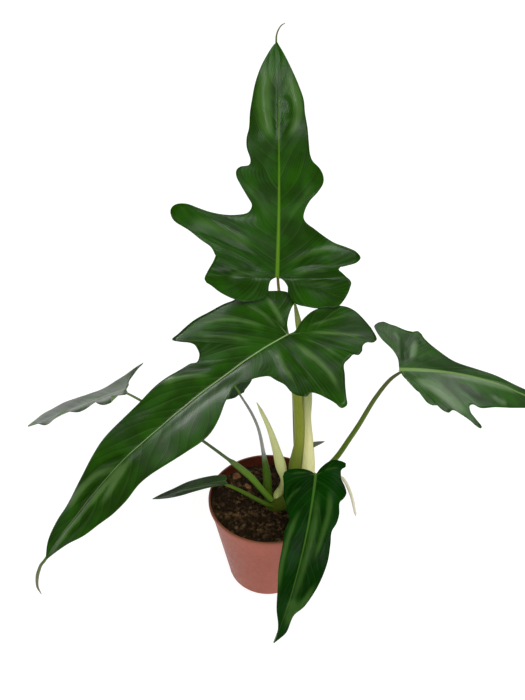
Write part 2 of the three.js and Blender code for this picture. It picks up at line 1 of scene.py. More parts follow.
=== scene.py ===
"""Potted philodendron: seven lobed leaves on a short creeping stem, in a plain tapered nursery pot.

Shapes are worked out in millimetres, as in the part's source, and put into meshes in metres. A blade is a net
of rays from its midrib and from its lobes' ribs out to its margin, laid out flat, raised into soft ridges and
furrows, and bent along its length. Stems, stalks and sheaths are tubes round smooth curves. The pot is a
lathe with a ring of drain holes in its floor, and its soil is a low mound with clods, crumbs and bark.
"""

import math

import bpy
import numpy as np
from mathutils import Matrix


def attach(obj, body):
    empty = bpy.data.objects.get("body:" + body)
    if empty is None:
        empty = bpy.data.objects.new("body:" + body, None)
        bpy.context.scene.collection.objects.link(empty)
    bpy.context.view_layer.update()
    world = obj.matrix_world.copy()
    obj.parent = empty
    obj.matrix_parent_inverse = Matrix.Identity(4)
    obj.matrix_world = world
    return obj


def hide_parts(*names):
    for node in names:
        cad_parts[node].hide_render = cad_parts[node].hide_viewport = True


# A millimetre in metres, how near each other in millimetres the points of a mesh become one, and the root of
# the distance under which two stations of a curve are one
MM = 0.001
SAME_POINT = 0.004
SAME_STATION = 1e-4

# The pot. Its corner is the round inside its foot, and the rounds are those of the bead under its rim and of
# the rim's inner edge. The rim is duller and browner on top, from a depth under its top, fading in over the
# next length. The ring of its floor that has the holes reaches DRAIN_BAND to either side of their circle, and
# the steps divide that ring and each of its sectors.
POT_HEIGHT = 107
POT_RIM_RADIUS = 60
POT_BASE_RADIUS = 40
POT_WALL = 1.4
POT_FLOOR = 2
POT_LIP = 0.8
POT_BEAD = 4
POT_FOOT = 5
POT_CORNER = 3
BEAD_ROUND = 0.3
EDGE_ROUND = 0.4
RIM_DULL_DEPTH = 1.2
RIM_DULL_FADE = 0.8
DRAIN_HOLES = 6
DRAIN_RADIUS = 4
DRAIN_CIRCLE = 29
DRAIN_BAND = 6
SECTOR_STEPS = 22
BAND_STEPS = 6
HOLE_STEPS = 4

# The soil: a mound with clods and finer grains, that banks up by the wall, most on the side of the heap. The
# waves are in millimetres. A crumb's half-size is CRUMB_SIZE and up to CRUMB_SPREAD more.
GAP = 0.3
SOIL_TOP = 94
SOIL_MOUND = 3
SOIL_CLODS = 1.2
SOIL_BANK = 2.5
SOIL_HEAP = 8
HEAP_SIDE = 190
SOIL_SIDES = 240
SOIL_RINGS = 100
GRAIN = 0.8
GRAIN_WAVES = (11, 7, 4.3, 2.9)
GRAIN_SEED = 3
CRUMBS = 1300
CRUMB_MARGIN = 3
CRUMB_SIZE = 0.5
CRUMB_SPREAD = 1.8
CRUMB_SEED = 11
LUMP_SEED = 5
CHIP_SEED = 21
CHIP_TILT = 8
CHIP_RAISE = 0.4

# The blades: half their thickness at the rib and at the margin, how far a rib stands out above and below, and
# how finely they are divided, FINER to each ray. Their side veins wander by a share of their spacing. By the
# lobes they sweep VEIN_SWEEP spacings, and a leaf's own shear comes in over VEIN_TURN of its length.
BEND_LENGTH = 8
PETIOLE_REACH = 4
PETIOLE_END = 1.1
BLADE_HALF = 0.35
EDGE_HALF = 0.2
RIB_ABOVE = 0.2
RIB_BELOW = 0.9
STALK_UNDER = 0.9
FINER = 6
ACROSS = 26
CROWDING = 1.4
RIB_STEPS = 200
FOLD_STEPS = 150
# How strongly folds show in the colour, and the width under which they do: ridges paler, as lighter tissue
# and painted sheen, and furrows darker, with painted shade
FOLD_CONTRAST = 1.6
PALE_WIDTH = 10
SWELL_WAVES = (70, 38, 24)
VEIN_WANDER = 0.25
VEIN_SWEEP = 0.3
VEIN_TURN = 0.3
VEIN_ARCH = 1.3
FINE_VEINS = 7.0

# The curves and tubes: samples and rings for each station, the length that a tube's grain is measured in, the
# channel along the stalks, and where the edge of the rolled leaf starts and how it winds, out and in
CURVE_SAMPLES = 60
RINGS = 12
SKIN_LENGTH = 40
GROOVE_DEPTH = 0.14
GROOVE_WIDTH = 0.12
ROLL_EDGE = 2.2
ROLL_WIND = 1.6
ROLL_OUT = 1.04
ROLL_IN = 0.1

# Each leaf: where its blade is attached, the compass direction (azimuth) and slope (rise) that it leaves in,
# its roll about the midrib, the angle that it droops by on the way to its tip, the sideways sweep of its tip,
# and its length. fold is how steeply its left and its right side rise from the midrib, past a crease of that
# half-width, and cup how far they turn down again. back_lift bends what lies behind the attachment up, or
# down if negative. ruffle is the height of the waves of each margin and waves their number. lean is how far
# side veins run towards the tip for each millimetre that they run out, at the attachment and at the tip. rays
# is how many rays each half has ahead of its notch, and back_rays how many each side of its lobe's rib has.
LEAVES = {
    "top": {
        "attach": (7, 15, 366), "azimuth": 86, "rise": 60, "roll": 0, "droop": 4, "sweep": -8, "length": 194,
        "fold": (0, 0), "crease": 12, "cup": 0, "back_lift": 0.8, "ruffle": (1.2, 1.2), "waves": 5,
        "lean": (0.55, 0.55), "rays": 30, "back_rays": 8,
    },
    "large": {
        "attach": (15, -42, 348), "azimuth": 209, "rise": -12, "roll": 0, "droop": 36, "sweep": -14,
        "length": 270, "fold": (0.12, 0.12), "crease": 12, "cup": 0.1, "back_lift": -0.2,
        "ruffle": (1.2, 1.2), "waves": 6, "lean": (0.55, 0.55), "rays": 30, "back_rays": 8,
    },
    "right": {
        "attach": (122, 24, 255), "azimuth": -4, "rise": 4, "roll": -8, "droop": 30, "sweep": 19,
        "length": 152, "fold": (-0.2, -0.2), "crease": 6, "cup": 0, "back_lift": 0, "ruffle": (0.8, 0.8),
        "waves": 4, "lean": (0.4, 2.6), "rays": 25, "back_rays": 5,
    },
    "front": {
        "attach": (44, -38, 179), "azimuth": 263, "rise": -15, "roll": 0, "droop": 50, "sweep": 25,
        "length": 159, "fold": (0.1, 0.1), "crease": 8, "cup": 0, "back_lift": 0, "ruffle": (0.8, 0.8),
        "waves": 4, "lean": (0.55, 0.55), "rays": 25, "back_rays": 5,
    },
    "far_left": {
        "attach": (-142, 61, 198), "azimuth": 171, "rise": -31, "roll": -13, "droop": 3, "sweep": 10,
        "length": 140, "fold": (0.2, 0.1), "crease": 6, "cup": 0, "back_lift": 0, "ruffle": (3, 0.3),
        "waves": 4, "lean": (0.55, 0.55), "rays": 23, "back_rays": 5,
    },
    "young": {
        "attach": (-43, 0, 130), "azimuth": 187, "rise": -4, "roll": -14, "droop": 14, "sweep": 0,
        "length": 74, "fold": (0.15, 0.15), "crease": 4, "cup": 0, "back_lift": 0, "ruffle": (0.3, 0.3),
        "waves": 2, "lean": (0.55, 0.55), "rays": 12, "back_rays": 3,
    },
    "rear": {
        "attach": (-28, 55, 197), "azimuth": 112, "rise": -5, "roll": 0, "droop": 25, "sweep": 4,
        "length": 120, "fold": (0.1, 0.1), "crease": 8, "cup": 0.1, "back_lift": 0.3, "ruffle": (1, 1),
        "waves": 4, "lean": (0.2, 0.6), "rays": 20, "back_rays": 4,
    },
}

# The outline of each leaf's left and right half, flat: x to the right of the midrib, seen from above with the
# tip ahead, and y along it. Each runs from the tip, (0, length), to the notch (front), on to the end of the
# back lobe (back), and along the sinus to the attachment, (0, 0) (sinus). rib is the lobe's main vein. A
# stretch starts where the one before it ends, so its first point is left out.
OUTLINES = {
    "top": ({
        "front": [
            (-3, 191), (-9, 182), (-14, 173), (-19, 160), (-22, 147), (-24, 136), (-25, 123), (-27, 115),
            (-27, 107), (-24, 97), (-25, 93), (-33, 91), (-36, 88), (-36, 83), (-33, 77), (-27, 67),
            (-23, 60), (-24, 56), (-27, 53), (-37, 51), (-47, 51), (-59, 53), (-69, 56), (-79, 59),
            (-88, 58), (-92, 54), (-92, 49), (-89, 44), (-77, 37), (-66, 29), (-57, 23), (-53, 16),
        ],
        "back": [(-55, 11), (-60, 2), (-62, -4), (-60, -7)],
        "sinus": [
            (-56, -9), (-48, -14), (-36, -19), (-24, -21), (-11, -18), (-7, -14), (-7, -9), (-6, -4),
            (-3, -1.2),
        ],
        "rib": [(-12, 0), (-38, -7)],
    }, {
        "front": [
            (5, 186), (11, 174), (17, 160), (21, 148), (22, 137), (24, 124), (25, 112), (26, 103), (28, 98),
            (34, 92), (37, 86), (37, 80), (33, 73), (26, 65), (22, 57), (21, 51), (23, 47), (30, 42),
            (37, 37), (47, 31), (59, 27), (66, 24), (70, 19), (67, 15), (59, 12), (53, 10.3), (52, 8),
        ],
        "back": [(58, 3), (63, -2), (62, -7)],
        "sinus": [
            (61, -10), (57, -17), (52, -22), (44, -23), (36, -24), (26, -23), (17, -21), (10, -13), (10, -9),
            (7, -4), (4, -1.2),
        ],
        "rib": [(14, 0), (40, -8)],
    }),
    "large": ({
        "front": [
            (-4, 262), (-12, 245), (-21, 229), (-26, 213), (-31, 197), (-33, 183), (-32, 168), (-34, 155),
            (-38, 139), (-41, 122), (-43, 107), (-41, 96), (-35, 85), (-27, 75), (-24, 69), (-19, 63),
            (-19, 57), (-22, 51), (-24, 45), (-27, 39), (-30, 35), (-37, 33), (-46, 30), (-56, 30),
            (-61, 29), (-66, 26), (-69, 23), (-68, 19), (-72, 16), (-80, 13), (-90, 10), (-96, 9), (-96, 4),
            (-89, 0), (-78, -6), (-68, -12), (-56, -19), (-53, -25),
        ],
        "back": [
            (-51, -31), (-54, -33), (-52, -38), (-46, -43), (-44, -48), (-46, -52), (-44, -57), (-37, -60),
            (-28, -62),
        ],
        "sinus": [
            (-14, -63), (-3, -63), (5, -60), (11, -53), (14, -45), (16, -36), (13, -25), (7, -15), (1, -8),
        ],
        "rib": [(-5, -11), (-13, -38)],
    }, {
        "front": [
            (9, 260), (15, 244), (17, 230), (22, 206), (27, 189), (32, 173), (34, 156), (33, 131), (34, 109),
            (33, 96), (32, 78), (29, 73), (33, 68), (40, 66), (46, 66), (51, 69), (57, 74), (65, 78),
            (66, 71), (71, 53), (70, 38), (68, 25), (65, 17),
        ],
        "back": [(61, 1), (56, -14)],
        "sinus": [(46, -27), (34, -27), (28, -20), (22, -14), (14, -8), (7, -4)],
        "rib": [(20, -1), (42, -12)],
    }),
    "right": ({
        "front": [
            (-5, 138), (-9, 121), (-12, 98), (-14, 73), (-19, 53), (-33, 38), (-49, 27), (-58, 24),
            (-62, 21), (-60, 16),
        ],
        "back": [(-62, 9), (-69, -2), (-71, -6), (-76, -13), (-75, -18)],
        "sinus": [(-70, -22), (-64, -21), (-47, -15), (-30, -5), (-17, -1)],
        "rib": [(-17, 1.5), (-38, -3), (-58, -12)],
    }, {
        "front": [
            (7, 135), (14, 118), (25, 90), (31, 74), (29, 67), (31, 64), (37, 65), (43, 70), (49, 75),
            (51, 74), (50, 70), (46, 64), (42, 56), (39, 48), (42, 44), (40, 38), (36, 34), (36, 29),
            (33, 24), (26, 21), (24, 18), (22, 15), (13, 7),
        ],
        "back": [(10, 4.9)],
        "sinus": [(4, 1.6)],
        "rib": [(6, 2.9)],
    }),
    "front": ({
        "front": [
            (-4, 153), (-7, 147), (-8, 130), (-14, 122), (-19, 109), (-22, 97), (-24, 80), (-23, 64),
            (-22, 53), (-25, 45), (-26, 37), (-25, 26), (-28, 22), (-30, 17), (-28, 10), (-24, 2), (-23, -6),
        ],
        "back": [(-24, -8), (-27, -10), (-27, -14)],
        "sinus": [(-23, -16), (-16, -17), (-11, -15), (-4, -8)],
        "rib": [(-17, -9)],
    }, {
        "front": [
            (0.5, 149), (3, 140), (9, 126), (14, 106), (18, 88), (19, 73), (20, 56), (18, 47), (20, 41),
            (23, 35), (25, 29), (27, 25), (28, 15), (30, 6),
        ],
        "back": [(29, 1)],
        "sinus": [(24, -3), (13, -5), (4, -3)],
        "rib": [(18, 0.5)],
    }),
    "far_left": ({
        "front": [
            (-4, 126), (-8, 116), (-12, 107), (-14, 96), (-11, 84), (-9, 74), (-12, 64), (-14, 54),
            (-11, 44), (-10, 35), (-16, 28), (-25, 20), (-29, 11), (-26, 5),
        ],
        "back": [(-24, 0)],
        "sinus": [(-18, -5), (-11, -6), (-4, -3)],
        "rib": [(-8, 0), (-16, -1)],
    }, {
        "front": [
            (8, 137), (17, 128), (23, 112), (26, 96), (26, 78), (23, 62), (22, 47), (26, 36), (33, 22),
        ],
        "back": [(39, 12), (46, 1), (49, -2)],
        "sinus": [(45, -2), (37, 2), (28, 4), (20, 4), (13, 2), (6, -1)],
        "rib": [(13, 4.5), (28, 6), (42, 0.5)],
    }),
    "young": ({
        "front": [(-5, 67), (-10, 55), (-11, 44), (-10, 34), (-9, 20), (-8, 9)],
        "back": [(-7, 2)],
        "sinus": [(-5, -2), (-2.5, -2)],
        "rib": [(-4, 1)],
    }, {
        "front": [(3, 64), (6, 52), (10, 38), (11, 23), (11.5, 9)],
        "back": [(11, 3)],
        "sinus": [(9, -1.5), (5, -2.5), (2, -1.5)],
        "rib": [(6, 1.5)],
    }),
    "rear": ({
        "front": [
            (-7, 110), (-14, 96), (-17, 82), (-17, 70), (-22, 60), (-21, 52), (-16, 43), (-22, 37),
            (-34, 36), (-43, 37), (-46, 32), (-41, 23), (-34, 14), (-30, 8),
        ],
        "back": [(-28, 1), (-23, -3)],
        "sinus": [(-17, -4), (-10, -4), (-5, -3), (-2, -1)],
        "rib": [(-9, -0.5), (-16, -2)],
    }, {
        "front": [
            (8, 108), (14, 94), (17, 80), (18, 70), (23, 58), (21, 48), (16, 42), (22, 40), (34, 40),
            (40, 36), (36, 31), (27, 27), (22, 24), (20, 18), (16, 13), (12, 9), (8, 5),
        ],
        "back": [(6.5, 3.6)],
        "sinus": [(4, 1)],
        "rib": [(4, 1.9)],
    }),
}

# How each blade looks. spacing is how far apart its side veins are, quilt how far it bulges between them and
# swell how far it rises and falls gently, in millimetres. shear is how many spacings the veins sweep towards
# the tip on their way out, lines how clear they are and shade how dark the painted shade is on one side of
# each. ribs has the half-width of the midrib, in millimetres, how much of its colour is left at the tip, and
# how much of it the lobes' ribs have. gloss is the strength of the sheen, pale how far ridges are paler, as
# lighter tissue and painted sheen, and deep how far furrows are darker with painted shade. Then come the
# colour of the blade, of its veins and of its ridges' lighter tissue and painted sheen, and of its ribs, in 0
# to 255, as all colours here.
LOOKS = {
    "top": {
        "spacing": 17, "quilt": 0.1, "swell": 0.6, "seed": 4, "shear": 1, "lines": 0.15, "shade": 0.4,
        "ribs": (1.7, 0.3, 0.4), "gloss": 0.19, "pale": 0.6, "deep": 0.7, "blade": (28, 72, 0),
        "vein": (68, 104, 42), "rib": (82, 124, 18),
    },
    "large": {
        "spacing": 14, "quilt": 0.05, "swell": 0.4, "seed": 7, "shear": 1.6, "lines": 0.2, "shade": 0.5,
        "ribs": (0.7, 0.6, 0.7), "gloss": 0.27, "pale": 0.75, "deep": 0.75, "blade": (30, 74, 2),
        "vein": (84, 114, 60), "rib": (132, 158, 100),
    },
    "right": {
        "spacing": 16, "quilt": 0.08, "swell": 0.7, "seed": 2, "shear": 0.4, "lines": 0.15, "shade": 0.25,
        "ribs": (2.2, 0.7, 0.4), "gloss": 0.36, "pale": 0.8, "deep": 0.9, "blade": (44, 84, 24),
        "vein": (100, 124, 88), "rib": (108, 138, 76),
    },
    "front": {
        "spacing": 13, "quilt": 0.1, "swell": 0.6, "seed": 9, "shear": 2.4, "lines": 0.25, "shade": 0.2,
        "ribs": (1.3, 0.5, 0.7), "gloss": 0.06, "pale": 0.85, "deep": 0.5, "blade": (3, 47, 0),
        "vein": (50, 82, 30), "rib": (62, 96, 34),
    },
    "far_left": {
        "spacing": 11, "quilt": 0.15, "swell": 0.6, "seed": 5, "shear": 1, "lines": 0.15, "shade": 0.15,
        "ribs": (1.3, 0.6, 0.6), "gloss": 0.35, "pale": 0, "deep": 0, "blade": (50, 78, 34),
        "vein": (62, 90, 46), "rib": (96, 122, 70),
    },
    "young": {
        "spacing": 9, "quilt": 0.05, "swell": 0.2, "seed": 6, "shear": 1.5, "lines": 0.2, "shade": 0.15,
        "ribs": (0.8, 0.4, 0.4), "gloss": 0.3, "pale": 0.1, "deep": 0, "blade": (46, 80, 24),
        "vein": (54, 88, 34), "rib": (78, 108, 48),
    },
    "rear": {
        "spacing": 12, "quilt": 0.2, "swell": 0.8, "seed": 8, "shear": 1, "lines": 0.4, "shade": 0.4,
        "ribs": (1.3, 0.5, 0.6), "gloss": 0.15, "pale": 0, "deep": 0, "blade": (34, 76, 10),
        "vein": (44, 88, 20), "rib": (100, 140, 50),
    },
}

# The folds of each blade: a soft ridge along a line of the flat leaf, with its height and its width, or a
# furrow if its height is negative. Those narrower than PALE_WIDTH are also painted: ridges paler, as lighter
# tissue and painted sheen, and furrows darker, with painted shade.
FOLDS = {
    "top": [
        ([(-80, 118), (-32, 116), (-14, 116), (0, 108), (14, 114), (32, 116), (80, 118)], 3.4, 26),
        ([(-10, 106), (-13, 134), (-10, 162), (-3, 188)], 0.45, 8),
        ([(12, 118), (13, 140), (9, 162), (3, 184)], 0.3, 8),
        ([(-9, 172), (-13, 150), (-10, 128), (-2, 110)], 0.7, 4),
        ([(8, 172), (15, 150), (14, 128), (3, 110)], 0.7, 4),
        ([(-1, 112), (-2, 135), (-1, 165)], -0.3, 2.5),
        ([(4, 152), (8, 142), (8, 130)], -0.7, 4),
        ([(-5, 21), (-28, 34), (-49, 45), (-76, 55)], -0.4, 2.4),
        ([(-10, 19), (-34, 32), (-60, 43), (-84, 49)], 0.5, 5),
        ([(-12, 13), (-21, 18), (-40, 25), (-60, 33), (-81, 40)], -0.4, 2.4),
        ([(-13, 3), (-27, 6), (-40, 15), (-50, 20)], -0.3, 3),
        ([(-8, 2), (-27, 3), (-48, -6)], 0.45, 3.5),
        ([(-8, -1), (-19, -7), (-39, -12)], -0.3, 3.5),
        ([(4, 14), (16, 29), (28, 36)], -0.3, 4),
        ([(4, 5), (17, 16), (38, 24), (59, 24)], 0.45, 3),
        ([(6, 4), (17, 9), (33, 12), (49, 12)], -0.4, 2.6),
        ([(8, 1), (19, 4), (34, 7), (50, 6)], 0.4, 3),
        ([(8, -1), (18, -1), (36, 0), (55, 2)], -0.3, 2.4),
        ([(8, -3), (20, -4), (39, -4), (56, -6)], 0.4, 3),
        ([(10, -6), (23, -7), (37, -11), (51, -14)], -0.4, 3.2),
        ([(-3, 40), (-20, 66), (-34, 86)], 0.3, 4),
        ([(3, 40), (20, 66), (35, 84)], 0.3, 4),
        ([(-3, 52), (-14, 72), (-24, 88)], -0.3, 3.5),
        ([(3, 52), (14, 72), (24, 92)], -0.3, 3.5),
    ],
    "large": [
        ([(0, 20), (0, 90), (0, 170)], -2.4, 10.5),
        ([(4, 66), (5, 110), (5, 160)], -0.1, 5),
        ([(-8, 36), (-10, 85), (-8, 120), (-6, 164)], 0.1, 7),
        ([(10, 8), (25, 14), (49, 31), (66, 58)], 0.45, 2.8),
        ([(8, 14), (17, 18), (35, 35), (56, 60)], -0.5, 2.4),
        ([(6, 22), (12, 26), (39, 48), (55, 66)], 0.4, 2.8),
        ([(4, 4), (30, 4), (62, 14)], 0.35, 2.2),
        ([(6, 62), (20, 74), (28, 84), (33, 100)], -1.2, 7),
        ([(1, 63), (14, 77), (27, 96), (31, 114)], 1, 4),
        ([(1, 160), (9, 176), (16, 190)], -0.6, 4),
        ([(-5, 166), (7, 184), (13, 206), (11, 240)], 1.2, 4.5),
        ([(3, 186), (6, 206), (5, 228)], -0.6, 3),
        ([(-2, 156), (-4, 190), (-5, 224), (-1, 276)], 1.2, 3),
        ([(-9, 206), (-10, 224), (-6, 246)], -0.5, 3),
        ([(-5, 152), (-9, 178), (-18, 208)], 1.1, 4),
        ([(2, -1), (28, -6), (56, -9)], 0.5, 2.8),
        ([(-2, 1), (-30, -1), (-60, -3), (-92, 4)], 0.6, 2.8),
        ([(-4, 6), (-28, 10), (-62, 12)], -0.45, 2.8),
        ([(-2, 11), (-25, 20), (-60, 24)], 0.45, 2.8),
        ([(-5, -8), (-28, -22), (-52, -36)], -0.45, 2.8),
        ([(-1, -9), (-22, -34), (-42, -59)], 0.5, 3),
        ([(-2, -4), (-26, -14), (-60, -22)], 0.35, 2.2),
        ([(-2, -16), (-12, -42), (-20, -60)], -0.4, 2.8),
        ([(0, -14), (-2, -40), (-7, -60)], 0.4, 2.6),
    ],
    "right": [
        ([(-3, 4), (-8, 5), (-29, 5), (-50, 4)], -0.8, 3.6),
        ([(-6, 2), (-26, 1.5), (-47, 1), (-66, -6)], 0.5, 3),
        ([(-6, 10), (-30, 15), (-41, 17), (-55, 20)], 0.8, 4),
        ([(-6, 22), (-7, 43), (-7, 61), (-7, 92)], -0.4, 5),
        ([(2, 20), (2, 60), (1, 94), (0, 125)], 0.7, 4.5),
        ([(7, 11), (18, 32), (35, 54), (44, 66)], 0.8, 8),
        ([(9, 45), (14, 60), (22, 76), (22, 90)], -0.6, 5),
        ([(12, 84), (17, 92), (16, 104)], 0.5, 4),
        ([(22, 20), (30, 28), (36, 37)], -0.4, 3.5),
        ([(6, 6), (14, 22), (26, 44), (40, 62)], 0.4, 3),
    ],
    "front": [
        ([(6, 24), (14, 52), (16, 90), (8, 126)], 1.5, 3),
        ([(-3, 2), (-5, 45), (-4, 90), (-2, 138)], 1.4, 3.8),
        ([(-10, 6), (-16, 28), (-14, 60), (-10, 92)], 1.2, 3),
        ([(-20, 92), (-14, 114), (-6, 134), (-2, 150)], 1.4, 3.4),
        ([(4, -2), (16, 0), (26, 4)], 0.4, 1.4),
        ([(-5, -4), (-16, -8), (-24, -8)], 0.4, 1.4),
        ([(8, 10), (20, 24), (25, 40)], 0.5, 2),
        ([(-3, 112), (-4, 126), (-2, 140)], 0.4, 6),
    ],
    "young": [
        ([(-5, 6), (-6, 30), (-4, 56)], 0.8, 3),
    ],
    "far_left": [],
    "rear": [],
}

# Stations of the stem and of what grows from it, from the root end up: x, y, z, half-width and half-depth, or
# four numbers where the section is round
STEM = [
    (-6, 4, 66, 5.5), (-1, 1, 84, 6.5, 6), (4, -3, 96, 7, 6.5), (12, -6, 102, 7.5, 7), (21, -6, 109, 9, 8.5),
    (29, -3, 120, 11.5, 9.5), (32.5, -1, 131, 13, 10), (32.5, -1, 138, 13, 10),
]

# Each petiole but for its last station, which its blade sets
PETIOLES = {
    "large": [
        (26.4, -4, 138.3, 6.4, 6.5), (26.4, -4, 155, 6.5), (29.4, -4, 189, 4.8, 5.6), (28.9, -4, 216, 5),
        (26.5, -5, 245, 4.7), (22.5, -14, 285, 3.4, 3.6), (18, -29, 325, 2.4, 2.6),
    ],
    "top": [
        (31, 6.3, 138.3, 3.6, 3.1), (29, 6.5, 160, 3.8, 3.2), (27, 6, 200, 3.6, 3.2), (24.5, 6, 245, 3.2),
        (19, 9, 290, 2.2), (11.5, 13, 334.3, 1.5), (8.4, 16.4, 353.5, 1.3),
    ],
    "right": [
        (31, -1, 121, 3.4), (42, 1, 127, 3.2), (54, 3, 141, 2.9), (67, 4, 160, 2.7), (78.5, 7, 182, 2.5),
        (86, 9, 197, 2.4), (101, 15, 228, 2.1), (114.3, 20.5, 246.3, 1.8),
    ],
    "front": [(31, -5, 122, 3.2), (36, -15, 136, 2.8), (41, -27, 160, 2.2), (43.5, -34, 172, 1.8)],
    "far_left": [
        (8, -4, 100, 2.8), (-4, 2, 112, 3.1), (-18, 8, 128.5, 3.4, 3.2), (-34, 14.3, 140.6, 2.9, 2.8),
        (-40, 17, 144, 1.7), (-65, 30, 156.4, 1.5), (-98, 44, 173, 1.4), (-128, 55, 188.8, 1.3),
    ],
    "young": [(9, -8, 101, 2.6), (0, -8, 104.5, 2.5), (-16, -3.5, 111, 2.2), (-30, -1, 119, 1.8)],
    "rear": [
        (2, 0, 94, 4.2), (0, 8, 104, 4.6, 3.8), (-0.5, 11, 113, 4.6, 3.5), (-1, 14, 124, 4.2, 3),
        (-4.8, 25, 146.4, 2, 1.9), (-9.3, 36, 166, 1.5), (-16.3, 45, 180, 1.4),
    ],
}
NEW_LEAF = [
    (38.5, -4, 138.3, 6.4, 6.5), (38.6, -4, 155, 6.7, 6.5), (37.8, -2, 189, 4.9, 5.2),
    (35.8, -1, 216, 4.2, 4.6), (35.2, -1, 245, 4.7, 4.2), (31, 5, 290, 3.6, 3.4), (26, 11, 320, 2.8, 2.6),
    (22.3, 15, 340, 0.8),
]
CATAPHYLL_LEFT = [
    (12, -3, 101, 4), (11, 4, 105, 5.6, 4.6), (14, 5, 115, 3.8, 3.4), (15.2, 3, 129, 2.8, 2.6),
    (12.6, 2, 149, 5.6, 2.6), (7.6, 2, 173.5, 4.1, 2.2), (1.2, 2, 199.6, 2.8, 1.8),
    (-6.3, 2, 221.7, 1.9, 1.3), (-10.8, 2, 233.5, 0.4),
]
CATAPHYLL_RIGHT = [
    (33, -4, 117, 2.2, 1.2), (46, -6, 127, 2.2, 1.1), (58, -5, 138, 2.2, 1.1), (68, -5, 143, 2.2, 1),
    (74, -7, 140, 2.2, 1.1), (81, -17, 130, 2.2, 1.1), (85.2, -29, 116.5, 1.7, 1),
    (86, -31, 113.5, 0.5, 0.4),
]
ROOT_NUB = [
    (39, -2, 180.5, 3.4, 3), (44, -2.3, 183.5, 2.8, 2.4), (49, -2.7, 186, 1.7, 1.5), (53.5, -3, 188, 0.4),
]
TAILS = {
    "top": [
        (6.1, 116, 526, 0.9), (5.9, 119.5, 530.5, 0.8), (6.1, 120.5, 535, 0.7), (7.7, 120.5, 540, 0.6),
        (10.1, 120.5, 543.5, 0.5), (12.9, 120.5, 545.3, 0.3),
    ],
    "large": [
        (-176.5, -161, 219.5, 1.1), (-181.1, -165, 213.6, 1.2), (-185.2, -165, 207.3, 1.3),
        (-187.8, -165, 200.8, 1.4), (-190.4, -165, 192.2, 1.4), (-192.1, -165, 179, 1),
        (-190.4, -165, 169.2, 0.3),
    ],
}

# The pieces of bark on the soil: where they lie, their half-sizes, how far they are turned and their bark
CHIPS = [
    {"at": (-33, 37), "size": (5, 3.4, 1.6), "turn": 20, "bark": "dry bark"},
    {"at": (-20.5, 24.5), "size": (4.6, 2.8, 1.5), "turn": -35, "bark": "dry bark"},
    {"at": (24, 33), "size": (4.2, 3, 1.5), "turn": 70, "bark": "damp bark"},
    {"at": (-27, -22), "size": (4.4, 2.6, 1.4), "turn": 130, "bark": "damp bark"},
    {"at": (2, -40), "size": (3.8, 2.6, 1.4), "turn": -10, "bark": "damp bark"},
]

# The skin of each tube: its colour at its foot, at its end and in its streaks, and for some the stretch, from
# 0 at the foot to 1 at the end, over which the first turns into the second
SKINS = {
    "stalk large": ((62, 84, 0), (134, 144, 42), (96, 110, 14), (0.05, 0.4)),
    "stalk top": ((84, 98, 26), (104, 92, 48), (70, 78, 20), (0.3, 0.8)),
    "stalk right": ((78, 102, 18), (70, 70, 44), (62, 80, 20), (0.5, 1.0)),
    "stalk front": ((70, 100, 24), (60, 92, 24), (50, 76, 18)),
    "stalk far_left": ((90, 124, 38), (92, 110, 70), (74, 104, 28), (0.25, 0.5)),
    "stalk young": ((62, 86, 12), (84, 110, 30), (56, 72, 14)),
    "stalk rear": ((62, 92, 4), (164, 164, 158), (96, 108, 76), (0.5, 0.6)),
    "new leaf": ((226, 222, 160), (120, 136, 70), (206, 206, 134), (0.25, 0.75)),
    "pale sheath": ((192, 198, 120), (204, 206, 148), (176, 184, 108)),
    "dry sheath": ((190, 180, 140), (228, 222, 204), (176, 160, 120)),
    "root nub": ((84, 96, 66), (90, 92, 84), (70, 76, 60)),
    "stem skin": ((52, 66, 10), (96, 112, 34), (40, 50, 8)),
    "drip tip": ((70, 96, 40), (110, 104, 72), (90, 90, 56)),
}

# The light and the dark colour of what is in the pot
EARTHS = {
    "soil": ((66, 48, 28), (28, 19, 9)),
    "soil crumbs": ((94, 72, 46), (34, 23, 12)),
    "dry bark": ((148, 106, 70), (104, 68, 42)),
    "damp bark": ((80, 56, 35), (42, 28, 16)),
}

# The studio's round soft lights: where each is and how wide, in metres, its power in watts, and whether it
# also shows as sheen
LIGHTS = {
    "fill": ((0.5, -1.3, 2.4), 2.0, 52, False),
    "window": ((-1.5, 1.43, 1.48), 0.6, 10, True),
    "far window": ((-1.05, 1.7, 1.6), 0.8, 3, True),
    "rear window": ((0.1, 2.1, 1.45), 1.0, 3, True),
    "right window": ((1.2, 1.16, 1.98), 1.0, 4, True),
    "ceiling": ((0.75, 0.45, 2.6), 1.0, 11, True),
    "camera light": ((-0.1, -1.55, 2.3), 0.6, 11, True),
    "low front light": ((-0.6, -2.1, 0.85), 0.5, 5, True),
}
LIGHTS_AIM = (0, 0, 0.25)
FLOOR_HALF = 4.0

# The camera: its place in metres, how far it looks up from straight down, in degrees, and its lens and sensor
# in millimetres
CAMERA_PLACE = (-0.0055, -0.667, 0.840)
CAMERA_PITCH = 50.9
CAMERA_LENS = 50
CAMERA_SENSOR = 36


# Curves and waves

def lerp(a, b, k):
    """The value at a share k of the way from a to b."""
    return a + (b - a) * k


def step_lengths(points):
    """The distance from each point to the next."""
    return np.linalg.norm(np.diff(points, axis=0), axis=1)


def distance_along(points):
    """How far along a path each point is: the sum of the steps before it."""
    return np.r_[0, np.cumsum(step_lengths(points))]


def whole_turn(sides):
    """Equal steps of angle round a whole turn, whose end is left out."""
    return np.linspace(0, 2 * math.pi, sides, endpoint=False)


